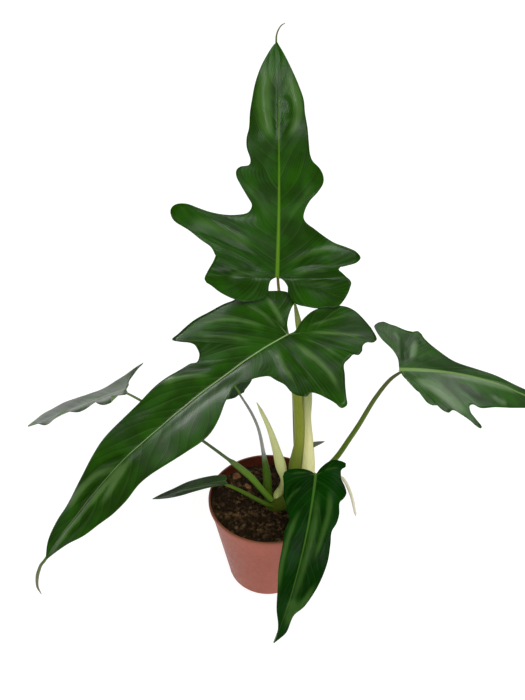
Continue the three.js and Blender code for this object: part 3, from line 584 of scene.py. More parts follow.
def through(points, t):
    """Points at t, 0 to 1, of a smooth curve through points that are equally far apart in t. Between two of
    them it is a cubic, whose slope at each end weighs the steps before and after by the roots of their
    lengths. Its ends carry on straight."""
    p = np.array(points, float)
    p = np.vstack([2 * p[0] - p[1], p, 2 * p[-1] - p[-2]])
    chord = np.sqrt(step_lengths(p))
    at = np.asarray(t) * (len(p) - 3)
    i = np.minimum(at.astype(int), len(p) - 4)
    k = (at - i)[:, None]
    a, b, c, d = (p[i + step] for step in range(4))
    ab, bc, cd = (chord[i + step][:, None] for step in range(3))
    bc = np.where(bc < SAME_STATION, 1, bc)
    ab = np.where(ab < SAME_STATION, bc, ab)
    cd = np.where(cd < SAME_STATION, bc, cd)
    leaving = bc * ((b - a) / ab - (c - a) / (ab + bc) + (c - b) / bc)
    arriving = bc * ((c - b) / bc - (d - b) / (bc + cd) + (d - c) / cd)
    cubic = (2 * (b - c) + leaving + arriving) * k**3
    square = (3 * (c - b) - 2 * leaving - arriving) * k**2
    return cubic + square + leaving * k + b


def evenly(points, steps):
    """Points equally far apart along the smooth curve through points."""
    fine = through(points, np.linspace(0, 1, CURVE_SAMPLES * len(points)))
    run = distance_along(fine)
    wanted = np.linspace(0, run[-1], steps + 1)
    return np.column_stack([np.interp(wanted, run, column) for column in fine.T])


def rough(x, y, seed, sizes):
    """A sum of three sine waves of each size, in directions and phases drawn from seed: about -1 to 1."""
    draw = np.random.default_rng(seed)
    total = 0
    for size in sizes:
        for turn, phase in draw.uniform(0, 2 * math.pi, (3, 2)):
            total = total + np.sin((x * math.cos(turn) + y * math.sin(turn)) * 2 * math.pi / size + phase)
    return total / (2 * len(sizes))


# Meshes

def triples(a, b, c):
    """Three arrays as the columns of one."""
    return np.stack(np.broadcast_arrays(a, b, c), -1).reshape(-1, 3)


def net_faces(rows, columns, closed=False):
    """Triangles of a net of rows by columns, whose last column meets its first if closed."""
    i, j = np.meshgrid(np.arange(rows - 1), np.arange(columns if closed else columns - 1), indexing="ij")
    a = i * columns + j
    b = i * columns + (j + 1) % columns
    c, d = b + columns, a + columns
    return np.vstack([triples(a, b, c), triples(a, c, d)])


def weld(points, faces):
    """The faces over the first of each set of like points, without those that come to nothing or lie back
    on each other, and the indices of the points that stay."""
    keys = np.round(points / SAME_POINT).astype(np.int64)
    _, kept, to = np.unique(keys, axis=0, return_index=True, return_inverse=True)
    faces = to.reshape(-1)[faces]
    faces = faces[(faces != np.roll(faces, 1, axis=1)).all(axis=1)]
    _, like, count = np.unique(np.sort(faces, axis=1), axis=0, return_inverse=True, return_counts=True)
    return faces[count[like.reshape(-1)] == 1], kept


def vertex_normals(points, faces):
    """Unit normals of the points: the sum of the cross products of the sides of their triangles."""
    a, b, c = (points[faces[:, i]] for i in range(3))
    across = np.cross(b - a, c - a)
    total = np.zeros_like(points)
    for i in range(3):
        np.add.at(total, faces[:, i], across)
    return total / np.maximum(np.linalg.norm(total, axis=1, keepdims=True), 1e-12)


def new_object(name, data):
    """An object with this data, in the scene."""
    thing = bpy.data.objects.new(name, data)
    bpy.context.scene.collection.objects.link(thing)
    return thing


def add_piece(name, points, faces, material, slot, values=None, node=None):
    """A smooth mesh of the part's millimetres, with a number or three for each point under each name in
    values, in place of a node of the part."""
    mesh = bpy.data.meshes.new(name)
    mesh.from_pydata(points * MM, [], faces, shade_flat=False)
    for key, value in (values or {}).items():
        flat = np.asarray(value, dtype=np.float32)
        kind, field = ("FLOAT", "value") if flat.ndim == 1 else ("FLOAT_VECTOR", "vector")
        mesh.attributes.new(key, kind, "POINT").data.foreach_set(field, flat.ravel())
    mesh.materials.append(material)
    piece = new_object(name, mesh)
    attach(piece, "root")
    if node:
        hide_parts(node)


# Materials

def colour(rgb):
    """The linear colour of a screen colour in 0 to 255."""
    c = np.array(rgb) / 255
    linear = np.where(c <= 0.04045, c / 12.92, ((c + 0.055) / 1.055) ** 2.4)
    return (*linear.tolist(), 1.0)


def darker(rgb, share):
    """A colour with each of its parts times share."""
    return tuple(share * part for part in rgb)


def new_material(name):
    """A material with its node tree and its shader."""
    material = bpy.data.materials.new(name)
    material.use_nodes = True
    tree = material.node_tree
    return material, tree, tree.nodes["Principled BSDF"]


def feed(node, socket, value):
    """Gives an input a number, a screen colour of three parts from 0 to 255, or another node's output."""
    if isinstance(value, bpy.types.NodeSocket):
        node.id_data.links.new(value, node.inputs[socket])
    else:
        is_colour = isinstance(value, tuple) and len(value) == 3
        node.inputs[socket].default_value = colour(value) if is_colour else value


def wire(tree, kind, output, inputs, **settings):
    """An output of a new node with these settings and inputs, which are numbers, colours or outputs."""
    node = tree.nodes.new(kind)
    for key, value in settings.items():
        setattr(node, key, value)
    for socket, value in inputs.items():
        feed(node, socket, value)
    return node.outputs[output]


def attribute(tree, name, output="Fac"):
    """What add_piece gave each point under a name."""
    return wire(tree, "ShaderNodeAttribute", output, {}, attribute_name=name)


def calculate(tree, operation, a, b=0.0):
    """An operation on two numbers or outputs."""
    return wire(tree, "ShaderNodeMath", 0, {0: a, 1: b}, operation=operation)


def between(tree, value, low, high, bottom=0.0, top=1.0):
    """Bottom below low, top above high and a smooth step from one to the other."""
    inputs = dict(enumerate((value, low, high, bottom, top)))
    return wire(tree, "ShaderNodeMapRange", 0, inputs, interpolation_type="SMOOTHSTEP")


def layers(tree, base, *others):
    """A colour with others over it, each an amount and a colour."""
    for amount, tint in others:
        base = wire(tree, "ShaderNodeMix", 2, {0: amount, 6: base, 7: tint}, data_type="RGBA")
    return base


def noise(tree, place, scale, detail=3.0):
    """Soft noise about a half, of so many waves to the unit, with finer waves over it."""
    inputs = {"Vector": place, "Scale": scale, "Detail": detail}
    return wire(tree, "ShaderNodeTexNoise", "Fac", inputs)


def object_place(tree):
    """Where a point is on its piece."""
    return wire(tree, "ShaderNodeTexCoord", "Object", {})


def bump(tree, shader, height, distance, strength):
    """Tilts the shader's normals as if the surface rose by height times distance."""
    inputs = {"Height": height, "Distance": distance, "Strength": strength}
    feed(shader, "Normal", wire(tree, "ShaderNodeBump", "Normal", inputs))


def coat(shader, paint, roughness, sheen):
    """Gives a shader its colour, its roughness and its sheen."""
    feed(shader, "Base Color", paint)
    feed(shader, "Roughness", roughness)
    feed(shader, "Specular IOR Level", sheen)


# The leaves

def blade_axes(leaf):
    """Unit vectors at the attachment: along the midrib, by its azimuth and rise, to its right, and out of the
    upper face, both turned about it by the roll."""
    a, e, r = (math.radians(leaf[key]) for key in ("azimuth", "rise", "roll"))
    t = np.array([math.cos(e) * math.cos(a), math.cos(e) * math.sin(a), math.sin(e)])
    level = np.cross(t, (0, 0, 1))
    level /= np.linalg.norm(level)
    up = np.cross(level, t)
    return t, level * math.cos(r) + up * math.sin(r), up * math.cos(r) - level * math.sin(r)


def on_blade(leaf, x, y, extra):
    """Points of the bent blade: the flat leaf follows an arc that turns by the droop from the attachment to
    the tip. Its sides are folded up along a hyperbola and cupped down along a parabola, and extra lifts it
    along the arc's normal."""
    t, s, n = blade_axes(leaf)
    ahead = np.maximum(y / leaf["length"], 0)
    behind = np.maximum(-y, 0)
    bend = math.radians(leaf["droop"])
    turn = bend * ahead
    radius = leaf["length"] / bend
    run = np.where(y > 0, radius * np.sin(turn), y)
    fold = np.where(x > 0, leaf["fold"][1], leaf["fold"][0])
    lift = fold * (np.hypot(x, leaf["crease"]) - leaf["crease"]) - leaf["cup"] * x * x / 100
    lift = lift + leaf["back_lift"] * behind**2 / (behind + BEND_LENGTH) + extra
    forward = run + lift * np.sin(turn)
    upward = lift * np.cos(turn) - radius * (1 - np.cos(turn))
    sideways = x + leaf["sweep"] * ahead**2
    return np.array(leaf["attach"]) + np.outer(forward, t) + np.outer(upward, n) + np.outer(sideways, s)


def whole_outline(leaf, half):
    """The three stretches of a half's outline, with the points that they share."""
    front = [(0, leaf["length"]), *half["front"]]
    back = [front[-1], *half["back"]]
    return front, back, [back[-1], *half["sinus"], (0, 0)]


def ray_starts(leaf, margins):
    """How far along the midrib each front ray starts: the y of its end less lean times how far out that is,
    as the mean of both halves. Starts never turn back, and are stretched to run from the tip to 0."""
    wanted = 0
    for margin in margins:
        lean = lerp(*leaf["lean"], margin[:, 1] / leaf["length"])
        wanted = wanted + np.maximum(margin[:, 1] - lean * np.abs(margin[:, 0]), 0) / 2
    wanted[0] = leaf["length"]
    starts = np.minimum.accumulate(wanted)
    return leaf["length"] * (starts - starts[-1]) / (leaf["length"] - starts[-1])


def half_rays(rib, outline, starts, margin, count):
    """Both ends of each ray of a half, from the tip round the back lobe to the attachment: from the midrib to
    the front stretch, and from the lobe's rib, out and back again, to the back and the sinus stretch."""
    _, back, sinus = outline
    rib = evenly([(0, 0), *rib], count)
    front = np.column_stack([np.zeros_like(starts), starts])
    begin = np.vstack([front, rib[1:], rib[-2::-1]])
    end = np.vstack([margin, evenly(back, count)[1:], evenly(sinus, count)[1:]])
    return begin, end


def distances(points, path):
    """How far each point is from each point of a path, both flat."""
    return np.hypot(points[:, None, 0] - path[None, :, 0], points[:, None, 1] - path[None, :, 1])


def rib_strength(flat, leaf, look, halves):
    """How much of a rib each point is: the rib's strength there, times 1 less the distance from it over its
    width. The midrib's strength goes from 1 to what is left at the tip, a lobe's from its own to 0."""
    thick, left, lobes = look["ribs"]
    along = np.clip(flat[:, 1] / leaf["length"], 0, 1)
    far = np.hypot(flat[:, 0], np.minimum(flat[:, 1], 0))
    best = lerp(1, left, along) * (1 - far / (2 * thick * lerp(1, 0.4, along)))
    for half in halves:
        rib = evenly([(0, 0), *half["rib"]], RIB_STEPS)
        width = 2 * thick * np.linspace(0.8, 0.3, len(rib))
        fading = np.linspace(lobes, 0, len(rib)) * (1 - distances(flat, rib) / width)
        best = np.maximum(best, fading.max(axis=1))
    return np.clip(best, 0, 1)


def fold_height(flat, folds):
    """The soft ridges and furrows: height * rise(u) * exp(-(d / width)^2), with d the distance from the line
    and u how far along it, from 0 to 1. rise is smooth, from 0 at each end to 1 over a third of the line."""
    total = np.zeros(len(flat))
    for line, height, width in folds:
        path = evenly(line, FOLD_STEPS)
        steps = np.gradient(path, axis=0)
        nearest = distances(flat, path).argmin(axis=1)
        step = steps[nearest]
        offset = flat - path[nearest]
        part = np.clip((offset * step).sum(axis=1) / (step * step).sum(axis=1), -0.5, 0.5)
        u = (nearest + part) / (len(path) - 1)
        away = np.linalg.norm(offset - part[:, None] * step, axis=1)
        rise = np.clip(np.minimum(u, 1 - u) * 3, 0, 1)
        total += height * rise * rise * (3 - 2 * rise) * np.exp(-(away / width) ** 2)
    return total


def fold_tint_and_painted_light(flat, folds):
    """How pale, up to 1, or how dark, down to -1, the blade is painted along its narrower folds: paler on
    ridges, as lighter tissue and painted sheen, and darker in furrows, with painted shade. It is the height
    of those folds, each with its height times a contrast."""
    marks = [(line, max(-1, min(FOLD_CONTRAST * height, 1)), width) for line, height, width in folds
             if width < PALE_WIDTH]
    return np.clip(fold_height(flat, marks), -1, 1)


def vein_phase(begin, end, share, leaf, look, side):
    """How many side veins have been passed, from the tip round to the attachment: how far the rays' ends have
    come, as the mean of both, over the spacing, and a sine by which it wanders. Veins are its whole numbers.
    They sweep towards the tip as they run out, least near the lobes."""
    moved = step_lengths(begin) + step_lengths(end)
    phase = np.r_[0, np.cumsum(moved / 2)][:, None] / look["spacing"]
    front = np.clip(begin[:, 1:] / (VEIN_TURN * leaf["length"]), 0, 1)
    wander = VEIN_WANDER * np.sin(2.3 * phase + 2 * side)
    return phase + wander + (VEIN_SWEEP + look["shear"] * front) * share**VEIN_ARCH


def half_net(begin, end, share, leaf, look, side):
    """A half's flat net, with a row for each ray, the height of its margin's waves and of its bulges between
    the side veins, which are lower where the veins crowd, and how many side veins have been passed."""
    rows = begin[:, None] + (end - begin)[:, None] * share[None, :, None]
    phase = vein_phase(begin, end, share, leaf, look, side)
    turn = np.arange(len(begin))[:, None] / len(begin)
    wave = leaf["ruffle"][side] * np.sin(2 * math.pi * leaf["waves"] * turn + side) * share**2
    gap = np.linalg.norm(np.gradient(rows, axis=0), axis=2)
    gap = gap / np.maximum(np.gradient(phase, axis=0), 0.001)
    body = np.clip(5 * share, 0, 1) * (1 - share**3) * np.clip(gap / look["spacing"], 0, 1) ** 1.5
    bulge = look["quilt"] * body * (2 * np.abs(np.sin(math.pi * phase)) ** 0.8 - 1)
    return rows, wave + bulge, phase


def rim_faces(faces, count):
    """Triangles that join the free edges of a net to those of its copy, whose points come count later."""
    edges = np.vstack([faces[:, [0, 1]], faces[:, [1, 2]], faces[:, [2, 0]]])
    keys = edges[:, 0] * (count + 1) + edges[:, 1]
    back = edges[:, 1] * (count + 1) + edges[:, 0]
    free = edges[~np.isin(keys, back)]
    a, b = free[:, 0], free[:, 1]
    return np.vstack([triples(b, a, a + count), triples(b, a + count, b + count)])


def thicken(middle, faces, across, strength):
    """The upper and the lower skin of a blade, its middle moved up and down along its normals, joined at the
    free edges. It is thinner at the margin, and has a keel under each rib."""
    normals = vertex_normals(middle, faces)
    half_thick = lerp(BLADE_HALF, EDGE_HALF, across**6)[:, None]
    ridge = strength[:, None] ** 0.7
    upper = middle + normals * (half_thick + RIB_ABOVE * ridge)
    lower = middle - normals * (half_thick + RIB_BELOW * ridge)
    count = len(middle)
    return np.vstack([upper, lower]), np.vstack([faces, faces[:, ::-1] + count, rim_faces(faces, count)])


def blade_shape(name):
    """A closed blade. The nets of its halves have columns that crowd towards the rib. They are welded, lifted
    by its swellings and folds, bent, and thickened."""
    leaf, look, halves, folds = LEAVES[name], LOOKS[name], OUTLINES[name], FOLDS[name]
    outlines = [whole_outline(leaf, half) for half in halves]
    margins = [evenly(front, leaf["rays"] * FINER) for front, _, _ in outlines]
    starts = ray_starts(leaf, margins)
    share = np.linspace(0, 1, ACROSS + 1) ** CROWDING
    nets = []
    for side, half in enumerate(halves):
        begin, end = half_rays(half["rib"], outlines[side], starts, margins[side], leaf["back_rays"] * FINER)
        nets.append(half_net(begin, end, share, leaf, look, side))
    rows, lift, vein = (np.stack(parts) for parts in zip(*nets))
    net = net_faces(rows.shape[1], len(share))
    flat = rows.reshape(-1, 2)
    faces, kept = weld(flat, np.vstack([net, net[:, ::-1] + len(flat) // 2]))
    across = np.tile(share, len(flat) // len(share))[kept]
    flat, lift, vein = flat[kept], lift.ravel()[kept], vein.ravel()[kept]
    lift = lift + look["swell"] * rough(flat[:, 0], flat[:, 1], look["seed"], SWELL_WAVES)
    lift = lift + fold_height(flat, folds)
    strength = rib_strength(flat, leaf, look, halves)
    points, faces = thicken(on_blade(leaf, flat[:, 0], flat[:, 1], lift), faces, across, strength)
    # fold: ridges paler, as lighter tissue and painted sheen, and furrows darker, with painted shade
    values = {"rib": strength, "fold": fold_tint_and_painted_light(flat, folds), "vein": vein, "across": across}
    values = {key: np.tile(value, 2) for key, value in values.items()}
    values["upper"] = np.repeat([1.0, 0.0], len(flat))
    return points, faces, values


def blade_material(name, look):
    """Green in two tones, with painted shade on one side of each side vein and in furrows, and paler along
    veins, ribs and ridges, the ridges as lighter tissue and painted sheen. Pale and dull underneath, with a
    waxy sheen on top."""
    material, tree, shader = new_material("leaf " + name)
    vein = attribute(tree, "vein")
    upper = attribute(tree, "upper")
    mottle = noise(tree, object_place(tree), 45.0)
    patches = between(tree, mottle, 0.35, 0.65)
    inward = between(tree, attribute(tree, "across"), 0.55, 1.0, 0.85, 0.1)
    line = between(tree, calculate(tree, "PINGPONG", vein, 0.5), 0.01, 0.1, look["lines"], 0.0)
    fine = calculate(tree, "PINGPONG", calculate(tree, "MULTIPLY", vein, FINE_VEINS), 0.5)
    line = calculate(tree, "MULTIPLY", line, inward)
    line = calculate(tree, "ADD", line, between(tree, fine, 0.0, 0.35, 0.12, 0.0))
    # Painted shade: darker on the attachment side of each side vein, as if each bulge were lit from one side
    shade = between(tree, calculate(tree, "FRACT", vein), 0.0, 0.6, look["shade"], 0.0)
    # Narrower folds are painted: ridges paler, as lighter tissue and painted sheen; furrows darker, painted
    # shade
    fold = calculate(tree, "MULTIPLY", attribute(tree, "fold"), between(tree, mottle, 0.3, 0.7, 0.7, 1.0))
    ridge = between(tree, fold, 0.1, 0.9, 0.0, look["pale"])
    furrow_shade = between(tree, fold, -0.9, -0.1, look["deep"], 0.0)
    rib = between(tree, attribute(tree, "rib"), 0.3, 0.75)
    # deep is the painted shade's colour; pale is that of the veins and of the ridges' tissue and painted
    # sheen
    pale, deep = look["vein"], darker(look["blade"], 0.55)
    green = layers(tree, darker(look["blade"], 0.72), (patches, look["blade"]), (shade, deep), (line, pale),
                   (ridge, pale), (furrow_shade, deep), (rib, look["rib"]))
    under = layers(tree, (88, 114, 66), (patches, (104, 130, 80)), (line, (146, 166, 116)),
                   (rib, (150, 168, 112)))
    roughness = between(tree, upper, 0.0, 1.0, 0.6, 0.28)
    coat(shader, layers(tree, under, (upper, green)), roughness, look["gloss"])
    bump(tree, shader, calculate(tree, "ADD", fine, mottle), 0.0002, 0.3)
    return material


def add_blades():
    """A blade for each leaf."""
    for name, look in LOOKS.items():
        points, faces, values = blade_shape(name)
        material = blade_material(name, look)
        add_piece("leaf_blade_" + name, points, faces, material, "blade", values, "blade_" + name)


# The stem, the stalks and the sheaths

def untwisted(along):
    """A direction across each direction of a path, that doesn't twist about it: the one before less its part
    along the path. The first is near +X."""
    wide = np.zeros_like(along)
    last = np.array([1.0, 0, 0])
    for i, direction in enumerate(along):
        last = last - direction * last.dot(direction)
        last /= np.linalg.norm(last)
        wide[i] = last
    return wide


def tube_shape(stations, sides, section):
    """A closed tube round a smooth curve through stations. Its rings are ellipses, changed by section, which
    gives the radius for an angle and a distance along."""
    stations = np.array([(*station, station[3])[:5] for station in stations], float)
    t = np.linspace(0, 1, (len(stations) - 1) * RINGS + 1)
    centre = through(stations[:, :3], t)
    size = through(stations[:, 3:], t)
    along = np.gradient(centre, axis=0)
    along /= np.linalg.norm(along, axis=1, keepdims=True)
    wide = untwisted(along)
    deep = np.cross(along, wide)
    angle = whole_turn(sides)
    ratio = section(angle[None, :], t[:, None]) if section else 1
    w = (size[:, :1] * np.cos(angle) * ratio)[..., None]
    d = (size[:, 1:2] * np.sin(angle) * ratio)[..., None]
    ring = centre[:, None] + wide[:, None] * w + deep[:, None] * d
    points = np.vstack([ring.reshape(-1, 3), centre[:1], centre[-1:]])
    count = len(t) * sides
    j = np.arange(sides)
    k = (j + 1) % sides
    low, high = triples(count, k, j), triples(count + 1, j + count - sides, k + count - sides)
    faces = np.vstack([net_faces(len(t), sides, closed=True), low, high])
    run = distance_along(centre) / SKIN_LENGTH
    skin = triples(np.cos(angle), np.sin(angle), run[:, None])
    values = {
        "along": np.r_[np.repeat(t, sides), 0, 1],
        "skin": np.vstack([skin, [(0, 0, 0), (0, 0, run[-1])]]),
    }
    return points, faces, values


def add_tube(name, stations, material, slot, node, section=None, sides=36):
    """A tube as a piece."""
    points, faces, values = tube_shape(stations, sides, section)
    add_piece(name, points, faces, material, slot, values, node)


def groove(angle, t):
    """A shallow channel along the upper side of a stalk: 1 less a bell curve over the angle, as deep as the
    root of a sine along it."""
    across = np.exp(-((np.cos(angle - math.pi / 2) - 1) / GROOVE_WIDTH) ** 2)
    return 1 - GROOVE_DEPTH * across * np.sin(math.pi * t) ** 0.5


def rolled(angle, t):
    """The section of a rolled leaf: a spiral that draws in by the cube of the turn since its outer edge. The
    edge winds up the spike."""
    turn = np.mod(angle + ROLL_EDGE - ROLL_WIND * t, 2 * math.pi) / (2 * math.pi)
    return ROLL_OUT - ROLL_IN * turn**3


def petiole_stations(name):
    """A petiole's stations, the last of them just under its blade's midrib."""
    end = on_blade(LEAVES[name], 0, PETIOLE_REACH, -STALK_UNDER)[0]
    return [*PETIOLES[name], (*end, PETIOLE_END)]


def stalk_material(name):
    """One colour at the foot of a tube and another at its end, with fine streaks along it."""
    low, high, streak, *change = SKINS[name]
    material, tree, shader = new_material(name)
    grain = noise(tree, attribute(tree, "skin", "Vector"), 5.0, 4.0)
    turn = between(tree, attribute(tree, "along"), *(change[0] if change else (0.0, 1.0)))
    streaks = between(tree, grain, 0.45, 0.75, 0.0, 0.4)
    coat(shader, layers(tree, low, (turn, high), (streaks, streak)), 0.42, 0.15)
    bump(tree, shader, grain, 0.0003, 0.5)
    return material


def add_stalks():
    """The petioles, then the other tubes of the plant, then the drawn-out tips of two blades."""
    for name in PETIOLES:
        material = stalk_material("stalk " + name)
        add_tube("leaf_stalk_" + name, petiole_stations(name), material, "petiole", "petiole_" + name, groove)
    for name, stations, skin, slot, node, shape in (
        ("rolled_new_leaf", NEW_LEAF, "new leaf", "sheath", "new_leaf_spike", (rolled, 48)),
        ("sheath_left", CATAPHYLL_LEFT, "pale sheath", "sheath", "cataphyll_left", ()),
        ("dry_sheath_right", CATAPHYLL_RIGHT, "dry sheath", "dry_sheath", "cataphyll_right", ()),
        ("root_point", ROOT_NUB, "root nub", "root", "root_nub", ()),
        ("creeping_stem", STEM, "stem skin", "stem", "stem", (None, 64)),
    ):
        add_tube(name, stations, stalk_material(skin), slot, node, *shape)
    tail = stalk_material("drip tip")
    for name, stations in TAILS.items():
        add_tube("drip_tip_" + name, stations, tail, "blade", "blade_" + name, sides=16)


# The pot

def pot_outer(z):
    """The outer radius of the pot's wall at a height: an even taper from the base to the rim."""
    return lerp(POT_BASE_RADIUS, POT_RIM_RADIUS - POT_LIP, z / POT_HEIGHT)


def lathe(profile):
    """Points and triangles of a profile of radius and height turned round the pot's axis."""
    profile = np.array(profile, float)
    sides = DRAIN_HOLES * SECTOR_STEPS
    angle = math.pi * (2 * np.arange(sides) / sides - 1 / DRAIN_HOLES)
    r, z = profile[:, :1], profile[:, 1:]
    return triples(r * np.cos(angle), r * np.sin(angle), z), net_faces(len(profile), sides, closed=True)


def arc(centre, radius, start, stop, steps):
    """Points on a circle round centre, between two angles in degrees."""
    a = np.radians(np.linspace(start, stop, steps + 1))
    return np.column_stack([centre[0] + radius * np.cos(a), centre[1] + radius * np.sin(a)])


def join(parts):
    """Several shapes as one: their points, and their triangles counted on past each other."""
    points = np.vstack([p for p, _ in parts])
    starts = np.cumsum([0] + [len(p) for p, _ in parts[:-1]])
    return points, np.vstack([f + start for (_, f), start in zip(parts, starts)])


def pot_outline():
    """Radius and height round the pot's wall: out over the foot, up to the step under the bead, over the
    rolled rim, and down the inside to the floor."""
    foot = arc((pot_outer(POT_FOOT) - POT_FOOT, POT_FOOT), POT_FOOT, -90, 0, 8)
    bead = POT_HEIGHT - POT_BEAD
    step = arc((pot_outer(bead) + POT_LIP, bead - POT_LIP), POT_LIP, 180, 90, 4)
    wall = through([foot[-1], (pot_outer(POT_HEIGHT / 2), POT_HEIGHT / 2), step[0]], np.linspace(0, 1, 30))
    corner = arc((POT_RIM_RADIUS - BEAD_ROUND, bead + BEAD_ROUND), BEAD_ROUND, -90, 0, 3)
    rim = arc((POT_RIM_RADIUS - POT_LIP, POT_HEIGHT - POT_LIP), POT_LIP, 0, 90, 6)
    inner_top = pot_outer(POT_HEIGHT) - POT_WALL
    edge = arc((inner_top + EDGE_ROUND, POT_HEIGHT - EDGE_ROUND), EDGE_ROUND, 90, 180, 4)
    inner_foot = pot_outer(POT_FLOOR) - POT_WALL
    inside = arc((inner_foot - POT_CORNER, POT_FLOOR + POT_CORNER), POT_CORNER, 0, -90, 6)
    return [*foot, *wall[1:-1], *step, *corner, *rim, *edge, *inside]


def drain_sector(i, low, high):
    """A sixth of the floor's ring: from its border in to the hole underneath, up the hole, and out again."""
    half = math.pi / DRAIN_HOLES
    sweep = np.linspace(-half, half, SECTOR_STEPS + 1)
    radial = np.linspace(low, high, BAND_STEPS + 1)
    r = np.r_[np.full(SECTOR_STEPS, high), radial[:0:-1], np.full(SECTOR_STEPS, low), radial[:-1]]
    a = np.r_[sweep[:-1], np.full(BAND_STEPS, half), sweep[:0:-1], np.full(BAND_STEPS, -half)]
    border = np.column_stack([r * np.cos(a), r * np.sin(a)])
    out = border - (DRAIN_CIRCLE, 0)
    hole = (DRAIN_CIRCLE, 0) + DRAIN_RADIUS * out / np.linalg.norm(out, axis=1, keepdims=True)
    steps = np.linspace(0, 1, HOLE_STEPS + 1)[:, None, None]
    floor = border[None] * (1 - steps) + hole[None] * steps
    flat = np.concatenate([floor, floor[::-1]])
    z = np.where(np.arange(len(flat)) < len(floor), 0, POT_FLOOR)[:, None]
    turn = 2 * half * i
    x = flat[..., 0] * math.cos(turn) - flat[..., 1] * math.sin(turn)
    y = flat[..., 0] * math.sin(turn) + flat[..., 1] * math.cos(turn)
    return triples(x, y, z), net_faces(len(flat), flat.shape[1], closed=True)[:, ::-1]


def pot_material():
    """Satin terracotta-coloured plastic, with faint cloudiness and scuffs, duller and browner on its rim's
    top, and darker inside with mottled painted shade."""
    material, tree, shader = new_material("terracotta plastic")
    place = object_place(tree)
    cloud = between(tree, noise(tree, place, 18.0), 0.3, 0.7)
    patches = between(tree, noise(tree, place, 60.0), 0.35, 0.65)
    scuff = noise(tree, place, 260.0, 2.0)
    # The rim's top is duller and browner
    rim_dulling = calculate(tree, "MULTIPLY", attribute(tree, "rim_top"), 0.7)
    # Painted shade inside the pot: dark red, mottled
    inside_shade = layers(tree, (50, 11, 5), (patches, (88, 25, 13)))
    body = layers(tree, (148, 70, 48), (cloud, (160, 80, 58)), (rim_dulling, (104, 72, 50)),
                  (attribute(tree, "inner"), inside_shade))
    coat(shader, body, between(tree, scuff, 0.3, 0.7, 0.42, 0.55), 0.3)
    bump(tree, shader, scuff, 0.0001, 0.4)
    return material


def add_pot():
    """A tapered pot with a rounded foot, a rolled rim and drain holes. The floor's ring of holes is made of
    sectors, each of which runs from its own border to its hole."""
    low, high = DRAIN_CIRCLE - DRAIN_BAND, DRAIN_CIRCLE + DRAIN_BAND
    shell = lathe([(high, 0), *pot_outline(), (high, POT_FLOOR)])
    parts = [shell, lathe([(0, 0), (low, 0)]), lathe([(low, POT_FLOOR), (0, POT_FLOOR)])]
    parts += [drain_sector(i, low, high) for i in range(DRAIN_HOLES)]
    points, faces = join(parts)
    faces, kept = weld(points, faces)
    points = points[kept]
    z = points[:, 2]
    inside = np.hypot(points[:, 0], points[:, 1]) < pot_outer(z) - POT_WALL / 2
    values = {
        # inner: painted shade on the inside wall, from just under the rim's edge down to the floor
        "inner": inside * np.clip(POT_HEIGHT + EDGE_ROUND - z, 0, 1) * (z > POT_FLOOR / 2),
        # The rim's top: duller and browner, fading in towards its top
        "rim_top": np.clip((z - POT_HEIGHT + RIM_DULL_DEPTH) / RIM_DULL_FADE, 0, 1),
    }
    add_piece("nursery_pot", points, faces, pot_material(), "pot", values, "pot")


# The soil

def soil_height(x, y):
    """A low mound with soft clods, which are crossed waves. Both fall off by the square of how far out they
    are. Past half-way the soil banks up to the wall, by the square of how far, most on the heap's side."""
    share = np.hypot(x, y) / pot_outer(SOIL_TOP)
    clods = np.sin(0.35 * x + 1) * np.cos(0.31 * y) + 0.7 * np.sin(0.8 * x + 0.6 * y)
    side = np.clip(np.cos(np.arctan2(y, x) - math.radians(HEAP_SIDE)), 0, 1)
    bank = (SOIL_BANK + SOIL_HEAP * side**2) * np.clip((share - 0.5) / 0.5, 0, 1) ** 2
    return SOIL_TOP + (1 - share**2) * (SOIL_MOUND + SOIL_CLODS * clods) + bank


def crumb_lift(x, y):
    """The soil's fine unevenness, which dies away over the last twelfth before the pot's wall."""
    inward = np.clip((1 - np.hypot(x, y) / (pot_outer(SOIL_TOP) - POT_WALL)) * 12, 0, 1)
    return inward * GRAIN * rough(x, y, GRAIN_SEED, GRAIN_WAVES)


def soil_shape():
    """The soil: its underside and a bevelled foot, then rings from the wall in to the middle of its top."""
    bottom = POT_FLOOR + GAP
    corner = pot_outer(bottom + POT_CORNER) - POT_WALL - GAP
    angle = whole_turn(SOIL_SIDES)
    top = soil_height(pot_outer(SOIL_TOP) * np.cos(angle), pot_outer(SOIL_TOP) * np.sin(angle))
    edge = pot_outer(top) - POT_WALL - GAP
    foot = np.array([0, corner - POT_CORNER, corner])[:, None] * np.ones(SOIL_SIDES)
    r = np.vstack([foot, np.linspace(1, 0, SOIL_RINGS)[:, None] * edge])
    x = r * np.cos(angle)
    y = r * np.sin(angle)
    z = soil_height(x, y) + crumb_lift(x, y)
    z[:2] = bottom
    z[2] = bottom + POT_CORNER
    points = triples(x, y, z)
    faces, kept = weld(points, net_faces(len(r), SOIL_SIDES, closed=True))
    return points[kept], faces


def squarish(wave, power):
    """A sine or cosine to a power, with its sign kept. Below 1 it squares a circle off."""
    return np.sign(wave) * np.abs(wave) ** power


